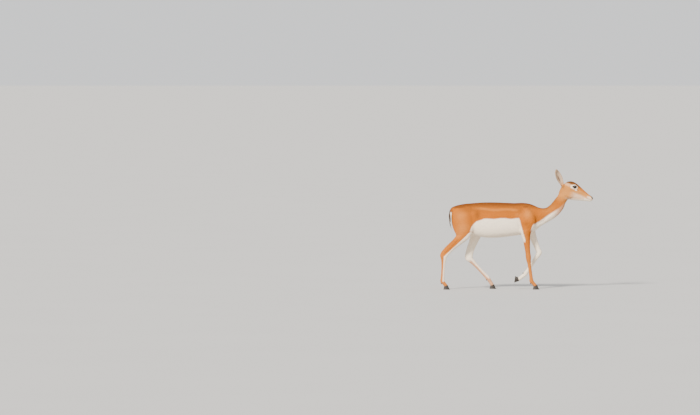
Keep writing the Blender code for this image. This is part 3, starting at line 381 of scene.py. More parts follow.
# Locks of the tail: highest root, how far down the roots reach, half width of the dock there, thickness, and
# the share of its width at even steps from root to tip
LOCK_TOP = 0.632
LOCK_RUN = 0.088
DOCK_HALF = 0.0105
LOCK_THICKNESS = 0.0016
LOCK_TAPER = (0.35, 0.75, 1.0, 1.0, 0.92, 0.8, 0.62, 0.42, 0.22, 0.05)

# Lashes: angle round the lids' opening and length
LASHES = tuple((6 + 3.9 * k, 0.004 + 0.0036 * math.sin(math.pi * (45 - k) / 56)) for k in range(42))
LASHES += tuple((-24 - 7.0 * k, 0.0026) for k in range(20))

# Whiskers: along and up in the head's frame, and length. Then the widths of a lash and a whisker
WHISKERS = (
    (0.246, -0.006, 0.019), (0.252, -0.01, 0.023), (0.258, -0.005, 0.02), (0.262, -0.011, 0.024),
    (0.24, -0.012, 0.017), (0.268, -0.008, 0.019), (0.255, -0.03, 0.018), (0.262, -0.027, 0.02),
    (0.246, -0.034, 0.016), (0.268, -0.023, 0.016), (0.236, -0.04, 0.013),
)
LASH_WIDTH = 0.00046
WHISKER_WIDTH = 0.00032

# Tufts: triangles of a wedge of seven points, their places in its patch of the flat map, how far up each
# lies, and the patch's size
TUFT_TRIANGLES = (
    (0, 2, 1), (0, 1, 4), (0, 4, 3), (1, 2, 5), (1, 5, 4), (2, 0, 3), (2, 3, 5), (3, 4, 6), (4, 5, 6),
    (5, 3, 6),
)
TUFT_PATCH = (
    (-0.5, -0.5), (0.5, -0.5), (0.0, -0.34), (-0.36, 0.06), (0.36, 0.06), (0.0, 0.14), (0.0, 0.5),
)
TUFT_RISES = (0.0, 0.0, 0.15, 0.55, 0.55, 0.65, 1.0)
PATCH = 0.003

# How much the tufts' ways sway and scatter, their thickness as a share of the half width, and how far they
# start under the skin
TUFT_WAVE = 0.07
TUFT_SPREAD = 0.13
TUFT_THICKNESS = 0.26
TUFT_SINK = 0.0004

# Marks that the skin and the tufts carry, and for each piece the number of its tufts and a name of a kind of
# coat
MARK_NAMES = ("coat_back", "coat_pale", "coat_face", "coat_more", "coat_ear", "coat_tone")
TUFT_NAMES = ("lie_place", "root_place", "tuft")
COAT_PIECES = {
    "trunk_right": (19500, "body_coat"), "trunk_left": (19500, "body_coat"),
    "haunches": (19500, "body_coat"), "neck": (15000, "body_coat"), "hind_legs": (17500, "leg_coat"),
    "fore_legs": (15500, "leg_coat"), "head": (19500, "face_coat"), "ears": (9000, "ear_coat"),
}

# The camera's distance, place along the animal, height, tilt and lens, and how far it sees
CAMERA_AWAY = 40.0
CAMERA_ALONG = -1.215
CAMERA_HEIGHT = 1.815
CAMERA_TILT = 1.65
CAMERA_LENS = 254.0
CAMERA_SENSOR = 36.0
CAMERA_REACH = 2000.0
FLOOR_REACH = 400.0

# The main light: the way that it comes from, its spread and its colour
KEY_FROM = (-0.42, -0.84, 0.62)
KEY_WIDTH = math.radians(10)
KEY_COLOUR = (1.0, 0.955, 0.885)


def filled_in(rows, steps):
    """The rows with smooth in-between rows, by cubic spans through their columns."""
    rows = np.array(rows, float)
    along = np.concatenate([[0], np.cumsum(np.linalg.norm(np.diff(rows[:, :4], axis=0), axis=1))])
    slopes = np.gradient(rows, along, axis=0)
    out = []
    for i in range(len(rows) - 1):
        span = along[i + 1] - along[i]
        for t in np.arange(steps) / steps:
            out.append(
                (2 * t**3 - 3 * t**2 + 1) * rows[i]
                + (t**3 - 2 * t**2 + t) * span * slopes[i]
                + (3 * t**2 - 2 * t**3) * rows[i + 1]
                + (t**3 - t**2) * span * slopes[i + 1]
            )
    return np.array(out + [rows[-1]])


def unit(rows):
    """Each row brought to a length of 1."""
    return rows / np.maximum(np.linalg.norm(rows, axis=1), TINY)[:, None]


def along_skin(ways, normals):
    """Ways laid flat along the skin."""
    return ways - normals * np.sum(ways * normals, axis=1)[:, None]


def blend(first, second, share):
    """One value turning into another."""
    return first * (1 - share) + second * share


def bell(value):
    """1 at 0, falling away smoothly on both sides."""
    return np.exp(-(value**2))


def highest(*shares):
    """The highest of the shares at each place."""
    return np.maximum.reduce(shares)


def in_frame(places, matrix):
    """Places moved by a matrix."""
    turn = np.array(matrix)
    return places @ turn[:3, :3].T + turn[:3, 3]


def level_of(border, value):
    """The height of a border at each value along it."""
    return np.interp(value, *np.array(border).T)


def section(upper_x, upper_z, lower_x, lower_z, middle_y, half_width, rise=0.0):
    """A ring round two facing profile points, widest at rise of the half depth above the middle."""
    upper, lower = np.array((upper_x, upper_z)), np.array((lower_x, lower_z))
    middle, half = (upper + lower) / 2, (upper - lower) / 2
    ring = []
    for turn in turns(RING_POINTS):
        x, z = middle + half * (math.cos(turn) + rise * math.sin(turn) ** 2)
        ring.append((x, middle_y + half_width * math.sin(turn), z))
    return ring


def add_loft(form, rings, place=None):
    """A closed skin over the rings."""
    place = place or Matrix.Identity(4)
    loops = [[form.verts.new(place @ Vector(p)) for p in ring] for ring in rings]
    count = len(loops[0])
    for low, high in zip(loops, loops[1:]):
        for i in range(count):
            j = (i + 1) % count
            form.faces.new((low[i], low[j], high[j], high[i]))
    form.faces.new(loops[0][::-1])
    form.faces.new(loops[-1])


def add_ball(form, centre, radii, place=None):
    """An egg-shaped mass."""
    place = place or Matrix.Identity(4)
    shape = place @ Matrix.Translation(centre) @ Matrix.Diagonal((*radii, 1.0))
    bmesh.ops.create_icosphere(form, subdivisions=4, radius=1.0, matrix=shape)


def head_matrix():
    """From the head's own frame, along, sideways and up, to the animal's."""
    return Matrix.Translation(HEAD_PLACE) @ Matrix.Rotation(HEAD_DROP, 4, "Y")


def turns(count):
    """Angles at even steps round a circle."""
    return np.arange(count) * 2 * math.pi / count


def add_form(form, rows, place=None):
    """A closed skin over smooth sections through the rows."""
    add_loft(form, [section(*row) for row in filled_in(rows, STEPS)], place)


def eye_matrix(side):
    """The eye's frame: its X looks outwards, Y runs backwards or forwards and Z up."""
    turn = Matrix.Rotation(side * (math.pi / 2 - EYE_AHEAD), 4, "Z")
    own = Matrix.Translation((EYE[0], side * EYE[1], EYE[2])) @ turn @ Matrix.Rotation(-EYE_UP, 4, "Y")
    return head_matrix() @ own


def sided(place, side):
    """A place or way of the left side, taken over to either side."""
    return Vector((place[0], side * place[1], place[2]))


def ear_base(side):
    """The middle of the ear's root."""
    return sided(EAR_BASE, side)


def ear_axes(side):
    """The ear's way to its tip, the way its cup faces and the way across it."""
    way = sided(EAR_WAY, side).normalized()
    faces = sided(EAR_FACES, side)
    faces = (faces - faces.dot(way) * way).normalized()
    return way, faces, way.cross(faces)


def facing(way):
    """A turn that takes Z to a way."""
    return way.to_track_quat("Z", "Y").to_matrix().to_4x4()


def add_ear_root(form, side):
    """The firm root of an ear, an egg along the ear."""
    way = ear_axes(side)[0]
    lift, width, length = EAR_ROOT
    place = Matrix.Translation(ear_base(side) + way * lift) @ facing(way)
    add_ball(form, (0, 0, 0), (width, width, length), place)


def leg_side(name):
    """1 on the animal's left and -1 on her right."""
    return 1 if name.endswith("left") else -1


def leg_joints(name):
    """The lower limb's joints in space."""
    return [sided(joint, leg_side(name)) for joint in LEGS[name]]


def bones_of(name):
    """The ways of a lower limb's bones."""
    joints = leg_joints(name)
    return [(b - a).normalized() for a, b in zip(joints, joints[1:])]


def limb_rows(name):
    """Sections along a lower limb, each square to the limb there."""
    joints, bones = leg_joints(name), bones_of(name)
    rows = []
    for bone, share, ahead, behind, half_width in GIRTHS[name.split("_")[0]]:
        centre = joints[bone].lerp(joints[bone + 1], share)
        way = bones[bone].copy()
        if share < BEND_REACH and bone > 0:
            way = bones[bone - 1].lerp(way, 0.5 + share / BEND_REACH / 2)
        if share > 1 - BEND_REACH and bone < len(bones) - 1:
            way = way.lerp(bones[bone + 1], (share - 1 + BEND_REACH) / BEND_REACH / 2)
        way.normalize()
        front = Vector((-way.z, 0, way.x)).normalized()
        upper, lower = centre + ahead * front, centre - behind * front
        rows.append((upper.x, upper.z, lower.x, lower.z, centre.y, half_width))
    return rows


def swung_rows(rows, swing, side):
    """Sections of a shoulder or thigh whose lower end is swung with the limb."""
    moved = []
    for x1, z1, x2, z2, y, half_width, share in rows:
        dx, dz = swing[0] * share, swing[1] * share
        moved.append((x1 + dx, z1 + dz, x2 + dx, z2 + dz, side * y, half_width))
    return moved


def raise_flesh():
    """All the forms of the flesh in one mesh, still overlapping."""
    form = bmesh.new()
    add_form(form, [(x, top, x, low, 0, *rest) for x, top, low, *rest in TRUNK])
    add_form(form, [(*row[:4], 0, row[4]) for row in NECK])
    place = head_matrix()
    add_form(form, [(u, top, u, low, 0, *rest) for u, top, low, *rest in HEAD], place)
    for side in (-1, 1):
        for centre, radii in HEAD_MASSES:
            add_ball(form, sided(centre, side), radii, place)
        add_ball(form, sided(EYE, side), [EYE_RADIUS + LID_DEPTH] * 3, place)
        add_ear_root(form, side)
    for name, swing in ELBOW_SWING.items():
        add_form(form, swung_rows(SHOULDER, swing, leg_side(name)))
    for name, swing in STIFLE_SWING.items():
        add_form(form, swung_rows(THIGH, swing, leg_side(name)))
    for name in LEGS:
        add_form(form, limb_rows(name))
    return mesh_of(form, "flesh")


def read(rows, name, width, kind=float):
    """A property of all the points, edges or corners of a mesh, as rows."""
    values = np.empty(len(rows) * width, kind)
    rows.foreach_get(name, values)
    return values.reshape(-1, width)


def vertex_places(mesh):
    """The mesh's points as rows."""
    return read(mesh.vertices, "co", 3)


def relaxed(mesh, rounds, weight, grow_back=False):
    """Moves each point towards its neighbours' mean, by its weight, and back again for a shape kept full."""
    places, ends = vertex_places(mesh), read(mesh.edges, "vertices", 2, int)
    a, b = ends.T
    count = np.bincount(ends.ravel(), minlength=len(places))[:, None]
    for _ in range(rounds):
        for step in RELAX_STEPS[: 1 + grow_back]:
            total = np.zeros_like(places)
            for axis in range(3):
                total[:, axis] = np.bincount(a, places[b, axis], len(places))
                total[:, axis] += np.bincount(b, places[a, axis], len(places))
            places += (total / count - places) * weight[:, None] * step
    set_places(mesh, places)


def blend_weight(places, blends):
    """1 where forms meet and are blended, falling to 0 away from there."""
    weight = np.zeros(len(places))
    for centre, radius, mirrored in blends:
        for side in (1, -1)[: 1 + mirrored]:
            middle = np.array(centre) * (1, side, 1)
            near = np.clip(1 - np.linalg.norm(places - middle, axis=1) / radius, 0, 1)
            weight = np.maximum(weight, np.clip(near * 2.5, 0, 1))
    return weight


def mesh_of(form, name):
    """The form as a mesh, facing outwards."""
    bmesh.ops.recalc_face_normals(form, faces=form.faces)
    mesh = bpy.data.meshes.new(name)
    form.to_mesh(mesh)
    form.free()
    return mesh


def largest_body(mesh):
    """The mesh with only its largest closed surface."""
    form = bmesh.new()
    form.from_mesh(mesh)
    left, bodies = set(form.faces), []
    while left:
        body, frontier = [], [left.pop()]
        while frontier:
            face = frontier.pop()
            body.append(face)
            beside = {other for edge in face.edges for other in edge.link_faces} & left
            left -= beside
            frontier += beside
        bodies.append(body)
    bodies.sort(key=lambda faces: sum(face.calc_area() for face in faces))
    bmesh.ops.delete(form, geom=[face for body in bodies[:-1] for face in body], context="FACES")
    bmesh.ops.delete(form, geom=[point for point in form.verts if not point.link_faces], context="VERTS")
    form.to_mesh(mesh)
    form.free()
    return mesh


def dewclaw_places(name, behind, below):
    """The ways down and back from a fetlock, and the places of its two dewclaws."""
    fetlock, pastern = leg_joints(name)[2], bones_of(name)[2]
    back = Vector((pastern.z, 0, -pastern.x)).normalized()
    heart = fetlock + back * behind + pastern * below
    return pastern, back, [heart + Vector((0, side * DEWCLAW_APART, 0)) for side in (-1, 1)]


def add_dewclaws(form, name):
    """Two small claws behind a fetlock."""
    radius, length = DEWCLAW
    pastern, back, middles = dewclaw_places(name, *DEWCLAW_MIDDLE)
    turn = facing((pastern + 0.9 * back).normalized())
    for middle in middles:
        place = Matrix.Translation(middle) @ turn
        shape = {"segments": DEWCLAW_TURNS, "radius1": radius, "radius2": radius * 0.35, "depth": length}
        bmesh.ops.create_cone(form, cap_ends=True, matrix=place, **shape)


def dock_rings():
    """Rings round the dock of the tail."""
    rows = filled_in([(*row, 0.0) for row in DOCK], 2)
    rings = []
    for i, (x, z, thick, wide, _) in enumerate(rows):
        before, after = rows[max(i - 1, 0)], rows[min(i + 1, len(rows) - 1)]
        way = Vector((after[0] - before[0], 0, after[1] - before[1])).normalized()
        out = Vector((way.z, 0, -way.x))
        heart = Vector((x, 0, z))
        ring = []
        for turn in turns(DOCK_TURNS):
            ring.append(heart + out * thick * math.cos(turn) + Vector((0, wide * math.sin(turn), 0)))
        rings.append(ring)
    return rings


def new_object(name, mesh):
    """An object in the scene with this mesh."""
    made = bpy.data.objects.new(name, mesh)
    bpy.context.scene.collection.objects.link(made)
    return made


def vertex_normals(mesh):
    """The mesh's outward ways at its points, as rows."""
    return read(mesh.vertex_normals, "vector", 3, np.float32).astype(float)


def set_places(mesh, places):
    """Moves the mesh's points."""
    mesh.vertices.foreach_set("co", places.ravel())
    mesh.update()


def eased(value):
    """0 below 0 and 1 above 1, with a smooth rise between."""
    t = np.clip(value, 0, 1)
    return t * t * (3 - 2 * t)


def in_head(places):
    """Places in the head's own frame: along, sideways and up."""
    cos, sin = math.cos(HEAD_DROP), math.sin(HEAD_DROP)
    d = places - np.array(HEAD_PLACE)
    return np.stack((d[:, 0] * cos - d[:, 2] * sin, d[:, 1], d[:, 0] * sin + d[:, 2] * cos), axis=1)


def head_share(places):
    """1 on the head, 0 behind it."""
    own = in_head(places)
    return eased((own[:, 0] - 0.005) / 0.03) * eased((own[:, 2] + 0.112) / 0.024)


def coat_depth(places):
    """How far the skin lies under the outside of the coat."""
    depth = LEG_COAT + (BODY_COAT - LEG_COAT) * eased((places[:, 2] - 0.33) / 0.1)
    face = FACE_COAT + (NOSE_COAT - FACE_COAT) * np.clip(in_head(places)[:, 0] / 0.28, 0, 1)
    return blend(depth, face, head_share(places))


def line_distance(flat, points):
    """The distance in a plane from each place to a line through the points."""
    nearest = np.full(len(flat), FAR)
    for a, b in zip(points, points[1:]):
        a, b = np.array(a), np.array(b)
        way = b - a
        t = np.clip((flat - a) @ way / (way @ way), 0, 1)
        nearest = np.minimum(nearest, np.linalg.norm(flat - a - t[:, None] * way, axis=1))
    return nearest


def slanted(first, second, angle):
    """Two coordinates turned by an angle."""
    cos, sin = math.cos(angle), math.sin(angle)
    return first * cos - second * sin, first * sin + second * cos


def eye_field(places, side):
    """Round an eye: places in its frame, share of the way out to the lids' opening, along and above."""
    own = in_frame(places, eye_matrix(side).inverted())
    along, above = slanted(-side * own[:, 1], own[:, 2], EYE_SLANT)
    q = along / EYE_OPENING[0]
    m = above / (EYE_OPENING[1] * (1 - 0.25 * np.clip(q, -1, 1) ** 2))
    share = np.hypot(q, m)
    share[(own[:, 0] < -0.006) | (np.linalg.norm(own, axis=1) > 0.045)] = FAR
    return own, share, q, above


def nostril_field(places, side):
    """Round a nostril, the share of the way out to its rim."""
    own = in_head(places)
    along, above = slanted(own[:, 0] - NOSTRIL[0], own[:, 2] - NOSTRIL[2], NOSTRIL_TILT)
    bend = above - 0.1 * (along / NOSTRIL_RADII[0]) ** 2 * NOSTRIL_RADII[1] * 6
    share = np.hypot(along / NOSTRIL_RADII[0], bend / NOSTRIL_RADII[1])
    share[(own[:, 1] * side < 0.004) | (own[:, 0] < 0.24)] = FAR
    return share


def mouth_height(along):
    """The level of the mouth line at each place along the head."""
    t = np.clip((along - MOUTH_CORNER[0]) / (MOUTH_FRONT[0] - MOUTH_CORNER[0]), 0, 1)
    return MOUTH_CORNER[2] + (MOUTH_FRONT[2] - MOUTH_CORNER[2]) * t**2


def edge_wanted(places):
    """The length of edge that each place of the skin needs."""
    own, face = in_head(places), head_share(places)
    wanted = np.where(face > 0.3, HEAD_EDGE, BODY_EDGE)
    for side in (-1, 1):
        share = eye_field(places, side)[1]
        wanted = np.where((share < 2.3) & (share > 0.8), np.minimum(wanted, EYE_EDGE), wanted)
        wanted = np.where((share < 1.25) & (share > 0.88), RIM_EDGE, wanted)
        wanted = np.where(nostril_field(places, side) < 2.6, np.minimum(wanted, RIM_EDGE * 1.1), wanted)
    slit = np.hypot((own[:, 0] - 0.141) / 0.013, (own[:, 2] - 0.0075) / 0.008)
    wanted = np.where((slit < 1.0) & (face > 0.5), np.minimum(wanted, EYE_EDGE * 0.75), wanted)
    lips = (own[:, 0] > MOUTH_CORNER[0] - 0.006) & (np.abs(own[:, 2] - mouth_height(own[:, 0])) < 0.0035)
    return np.where(lips & (places[:, 2] > 0.6), np.minimum(wanted, RIM_EDGE * 1.3), wanted)


def mesh_from(name, places, corners):
    """A mesh of these points and triangles."""
    mesh = bpy.data.meshes.new(name)
    mesh.vertices.add(len(places))
    mesh.loops.add(corners.size)
    mesh.polygons.add(len(corners))
    mesh.vertices.foreach_set("co", np.ascontiguousarray(places, dtype=np.float32).ravel())
    mesh.loops.foreach_set("vertex_index", corners.ravel().astype(np.int32))
    mesh.polygons.foreach_set("loop_start", np.arange(0, corners.size, 3, dtype=np.int32))
    mesh.update(calc_edges=True)
    return mesh


def triangles_of(mesh):
    """The corners of the mesh's triangles."""
    return read(mesh.loops, "vertex_index", 1, np.int32).reshape(-1, 3).astype(np.int64)


def split_triangles(places, corners, middles):
    """Triangles whose marked sides are halved, each by the pattern that its marks call for."""
    count = (middles >= 0).sum(axis=1)

    def begun(marks, wanted, lag):
        """Corners and middles of the triangles with so many marks, each begun at its own first side."""
        chosen = count == marks
        first = (np.argmax(wanted[chosen], axis=1) + lag) % 3
        order = (first[:, None] + np.arange(3)) % 3
        return [np.take_along_axis(rows[chosen], order, axis=1).T for rows in (corners, middles)]

    (a, b, c), (m, _, _) = begun(1, middles >= 0, 0)
    out = [corners[count == 0], np.stack((a, m, c), 1), np.stack((m, b, c), 1)]
    (a, b, c), (m, n, _) = begun(2, middles < 0, 1)
    near = np.linalg.norm(places[m] - places[c], axis=1) < np.linalg.norm(places[a] - places[n], axis=1)
    out += [np.stack((m, b, n), 1), np.stack((a, m, c), 1)[near], np.stack((m, n, c), 1)[near]]
    out += [np.stack((a, m, n), 1)[~near], np.stack((a, n, c), 1)[~near]]
    v, m = corners[count == 3], middles[count == 3]
    return np.concatenate(out + [np.stack((v[:, k], m[:, k], m[:, k - 1]), 1) for k in range(3)] + [m])


def refined(mesh):
    """The mesh in triangles, long edges halved where it needs finer ones, and doubled triangles dropped."""
    form = bmesh.new()
    form.from_mesh(mesh)
    bmesh.ops.triangulate(form, faces=form.faces)
    form.to_mesh(mesh)
    form.free()
    places, corners = vertex_places(mesh), triangles_of(mesh)
    for _ in range(HALVINGS):
        sides = np.stack((corners, np.roll(corners, -1, axis=1)), axis=2).reshape(-1, 2)
        keys = sides.min(axis=1) * len(places) + sides.max(axis=1)
        edges, which = np.unique(keys, return_inverse=True)
        a, b = places[edges // len(places)], places[edges % len(places)]
        long = np.linalg.norm(a - b, axis=1) > EDGE_LEEWAY * edge_wanted((a + b) / 2)
        if long.sum() < FEW_EDGES:
            break
        number = np.full(len(edges), -1)
        number[long] = len(places) + np.arange(long.sum())
        places = np.concatenate((places, ((a + b) / 2)[long]))
        corners = split_triangles(places, corners, number[which].reshape(-1, 3))
    _, which, times = np.unique(np.sort(corners, axis=1), axis=0, return_inverse=True, return_counts=True)
    used, corners = np.unique(corners[times[which.ravel()] == 1], return_inverse=True)
    return mesh_from("skin", places[used], corners.reshape(-1, 3))


def fused(mesh, other):
    """The mesh joined with another as one surface."""
    added = new_object("added", other)
    return largest_body(changed(mesh, "BOOLEAN", (added,), operation="UNION", solver="EXACT", object=added))


def ear_sheet(form, side):
    """The cup of an ear: a thin sheet rolled at its root, with ridges along its inside."""
    way, faces, across = ear_axes(side)
    inner, outer = [], []
    for t in np.linspace(0, 1, EAR_ROWS):
        half_turn = np.interp(t, EAR_SHARES, EAR_TURNS)
        radius = np.interp(t, EAR_SHARES, EAR_HALVES) / math.sin(min(half_turn, math.pi / 2))
        deepest = min(radius, EAR_DEPTH)
        centre = ear_base(side) + way * EAR_LENGTH * t - faces * EAR_BOW * math.sin(math.pi * t)
        thickness = min(EAR_SHEET * (1 - 0.5 * t), 0.6 * radius)
        for rows, size in ((outer, radius), (inner, radius - thickness)):
            row = []
            for turn in np.linspace(-half_turn, half_turn, EAR_COLUMNS):
                edge = abs(turn) / half_turn
                wave = math.cos(turn / half_turn * math.pi * 3.5)
                ridge = EAR_RIDGE * math.sin(math.pi * min(t * 1.1, 1)) * wave
                slim = 0.35 * thickness * eased((edge - 0.75) / 0.25)
                reach = size - (ridge * (1 - edge**2) - slim if rows is inner else slim)
                depth = -math.cos(turn) * reach * deepest / radius
                row.append(form.verts.new(centre + across * math.sin(turn) * reach + faces * depth))
            rows.append(row)
    sheets = [(outer[k], outer[k + 1], inner[k], inner[k + 1]) for k in range(EAR_ROWS - 1)]
    for low, high, low_in, high_in in sheets:
        for i in range(EAR_COLUMNS - 1):
            form.faces.new((low[i], low[i + 1], high[i + 1], high[i]))
            form.faces.new((low_in[i], high_in[i], high_in[i + 1], low_in[i + 1]))
        for i in (0, -1):
            form.faces.new((low[i], high[i], high_in[i], low_in[i]))
    for end in (0, -1):
        for i in range(EAR_COLUMNS - 1):
            form.faces.new((outer[end][i], inner[end][i], inner[end][i + 1], outer[end][i + 1]))


def changed(mesh, kind, others=(), **settings):
    """The mesh as a modifier with these settings makes it."""
    item = new_object("rough", mesh)
    modifier = item.modifiers.new("change", kind)
    for name, value in settings.items():
        setattr(modifier, name, value)
    bpy.context.view_layer.update()
    graph = bpy.context.evaluated_depsgraph_get()
    made = bpy.data.meshes.new_from_object(item.evaluated_get(graph))
    for used in (item, *others):
        bpy.data.objects.remove(used)
    return made


def remeshed(mesh, size):
    """The mesh's outside as an even grid."""
    return changed(mesh, "REMESH", mode="VOXEL", voxel_size=size)


def bare_skin():
    """The flesh drawn in by the coat's depth, with thin ears, as one closed surface."""
    mesh = remeshed(raise_flesh(), VOXEL)
    places = vertex_places(mesh)
    relaxed(mesh, BODY_ROUNDS, blend_weight(places, BLENDS))
    relaxed(mesh, FACE_ROUNDS, blend_weight(places, FACE_BLENDS))
    relaxed(mesh, EVEN_ROUNDS, np.ones(len(places)), True)
    places = vertex_places(mesh)
    set_places(mesh, places - vertex_normals(mesh) * coat_depth(places)[:, None])
    body = remeshed(mesh, SKIN_VOXEL)
    relaxed(body, SKIN_ROUNDS, np.ones(len(body.vertices)), True)
    form = bmesh.new()
    for side in (-1, 1):
        ear_sheet(form, side)
    for name in LEGS:
        add_dewclaws(form, name)
    bmesh.ops.triangulate(form, faces=form.faces)
    return fused(body, mesh_of(form, "ears"))


def soften_ear_roots(mesh):
    """Blends the ears' cups into the flesh of the head."""
    places = vertex_places(mesh)
    weight = np.zeros(len(places))
    for side in (-1, 1):
        away = places - np.array(ear_base(side))
        near = 1 - np.abs(away @ np.array(ear_axes(side)[0]) - 0.014) / 0.026
        weight = np.maximum(weight, eased(near * 1.6) * (np.linalg.norm(away, axis=1) < 0.055))
    relaxed(mesh, EAR_ROUNDS, weight)


def body_strokes(places, normals):
    """How far each place is raised by the strokes of the muscles and bones under the skin."""
    raised = np.zeros(len(places))
    for sides, points, width, height in STROKES:
        reach = bell(line_distance(places[:, (0, 2)], points) / width)
        for side in sides:
            near_side = eased((normals[:, 1] * side - 0.15) / 0.4) * (places[:, 1] * side > 0.004)
            raised += reach * near_side * height
    return raised


def face_strokes(places, normals):
    """How far each place of the face is raised by its own strokes, in the head's frame."""
    raised = np.zeros(len(places))
    own, face = in_head(places), head_share(places)
    for points, width, height in FACE_STROKES:
        reach = bell(line_distance(own[:, (0, 2)], points) / width)
        raised += reach * face * height * eased(np.abs(normals[:, 1]) / 0.35)
    gap = own[:, 2] - mouth_height(own[:, 0])
    lips = eased((own[:, 0] - MOUTH_CORNER[0] + 0.002) / 0.006) * face
    for height, middle, width in LIP_FOLDS:
        raised += lips * height * bell((gap - middle) / width)
    cleft = bell(own[:, 1] / 0.0009) * eased((own[:, 0] - 0.268) / 0.006)
    return raised - 0.0012 * cleft * (gap > 0) * face


def open_nostrils(places):
    """Hollows the nostrils and raises their rims."""
    for side in (-1, 1):
        share = nostril_field(places, side)
        inwards = np.array((-0.35, -side * 0.9, 0.25))
        places += eased(1.12 - share)[:, None] * NOSTRIL_HOLLOW * inwards
        places -= bell((share - 1.5) / 0.35)[:, None] * NOSTRIL_RIM * inwards
    return places


def shape_lids(places):
    """Sinks a pocket for each eye and lays thick lids against it, with a fold above and below."""
    for side in (-1, 1):
        own, share, _, above = eye_field(places, side)
        radius = np.linalg.norm(own, axis=1)
        thick, crease, fold = (np.where(above > 0, upper, lower) for upper, lower in LIDS)
        lid = LID_EDGE + (thick - LID_EDGE) * eased((share - 1.0) / 0.3)
        lid -= crease * bell((share - 1.52) / 0.1)
        lid += fold * bell((share - 1.82) / 0.22)
        target = EYE_RADIUS + lid - (LID_EDGE + POCKET) * eased((1.0 - share) / 0.08)
        wanted = radius + (target - radius) * (1 - eased((share - 1.25) / 0.75))
        wanted = np.where(share > 1.25, np.minimum(wanted, np.maximum(target, radius)), wanted)
        grown = np.where(share < 2.4, wanted / np.maximum(radius, TINY), 1.0)[:, None]
        places = in_frame(own * grown, eye_matrix(side))
    return places


def tuck_into_claws(places):
    """Draws the skin in below each coronet, so that it ends inside the claws."""
    for name in LEGS:
        fetlock, coronet = rows_of(leg_joints(name))[2:]
        way = coronet - fetlock
        share = (places - fetlock) @ way / (way @ way)
        heart = fetlock + share[:, None] * way
        away = places - heart
        near = np.linalg.norm(away, axis=1) < 0.035
        places = heart + away * (1 - 0.42 * (ramp(share, 0.9, 1.2) * near))[:, None]
    return places


def rows_of(vectors):
    """Vectors as rows."""
    return np.array([tuple(vector) for vector in vectors])


def make_skin_mesh():
    """The whole skin with its folds, lids, lips and nostrils."""
    mesh = bare_skin()
    soften_ear_roots(mesh)
    mesh = refined(mesh)
    places = vertex_places(mesh)
    relaxed(mesh, HEAD_ROUNDS, head_share(places) * (places[:, 2] < 0.87))
    places, normals = vertex_places(mesh), vertex_normals(mesh)
    raised = body_strokes(places, normals) + face_strokes(places, normals)
    places = open_nostrils(places + normals * raised[:, None])
    set_places(mesh, tuck_into_claws(shape_lids(places)))
    return mesh


def limb_field(places, name):
    """Round a limb: how far off its bones, progress down them, how far ahead of and outwards from them."""
    joints = rows_of(leg_joints(name))
    off = np.full(len(places), FAR)
    down, ahead = np.zeros(len(places)), np.zeros(len(places))
    for k, (a, b) in enumerate(zip(joints, joints[1:])):
        way = b - a
        share = (places - a) @ way / (way @ way)
        t = np.clip(share, 0, 1)
        away = places - a - t[:, None] * way
        here = np.linalg.norm(away, axis=1)
        nearer = here < off
        off = np.where(nearer, here, off)
        down = np.where(nearer, k + (share if k == len(joints) - 2 else t), down)
        ahead = np.where(nearer, away @ (np.array((-way[2], 0, way[0])) / math.hypot(way[0], way[2])), ahead)
    middle = np.interp(places[:, 2], joints[::-1, 2], joints[::-1, 1])
    return off, down, ahead, leg_side(name) * (places[:, 1] - middle)


def nearest_limb(places):
    """The field of the limb that each place belongs to, whether it is a hind one, and which."""
    fields = np.array([limb_field(places, name) for name in LEGS])
    best = fields[:, 0].argmin(axis=0)
    hind = np.array([name.startswith("hind") for name in LEGS])[best]
    return fields[best, :, np.arange(len(places))].T, hind, best


def ramp(value, low, high):
    """0 at low and 1 at high, with a smooth rise between."""
    return eased((value - low) / (high - low))


def white_share(places, normals):
    """Where the coat is white: belly, chest, throat, inner legs, rump's back, eye rings and chin."""
    x, y, z = places.T
    aside = np.abs(y)
    arm_x = np.interp(z, *np.array(ARM_BORDER)[::-1, ::-1].T)
    behind_arm = ramp(arm_x - x, -0.009, 0.007) * ramp(z, 0.3, 0.4)
    border = np.where(y > 0, level_of(LEFT_BORDER, x), level_of(FLANK_BORDER, x))
    border = border + 0.0035 * np.sin(x * 47 + 0.6) * (x > -0.2)
    belly = ramp(border - z, -0.012, 0.012) * behind_arm * ramp(z, 0.36, 0.42)
    chest = ramp(level_of(CHEST_BORDER, x) - z, -0.014, 0.018) * ramp(x, 0.236, 0.262)
    chest *= (1 - 0.7 * head_share(places)) * (0.3 + 0.7 * ramp(x, 0.52, 0.36)) * ramp(x, 0.6, 0.52)
    brisket = ramp(aside, 0.044, 0.03) * ramp(z, 0.545, 0.5) * (x > 0.1)
    groin = ramp(aside, 0.045, 0.03) * ramp(z, 0.53, 0.49) * (x < -0.16)
    (off, down, ahead, outward), hind, _ = nearest_limb(places)
    inner = np.maximum(ramp(outward, 0.004, -0.007), ramp(aside, 0.026, 0.016))
    above_hock = ramp(down, 1.15, 0.9)
    rear_front = ramp(ahead, -0.006, 0.002) * (0.74 + 0.22 * above_hock) * ramp(down, 2.4, 1.9)
    legs = np.where(hind, np.maximum(inner * (0.35 + 0.6 * above_hock), rear_front), inner * 0.9)
    on_limb = ramp(z, 0.505, 0.45) * ramp(off, 0.075, 0.05)
    limb = on_limb * np.where(hind, 1.0, 1 - behind_arm)
    rump = ramp(aside, 0.052, 0.036) * ramp(normals[:, 0], -0.25, -0.55) * ramp(z, 0.645, 0.61)
    return highest(
        highest(belly, chest, brisket, groin) * (1 - limb),
        legs * on_limb,
        np.maximum(brisket, groin) * (z > 0.41),
        rump * ramp(z, 0.4, 0.44) * (x < -0.3),
        white_face(places),
    )


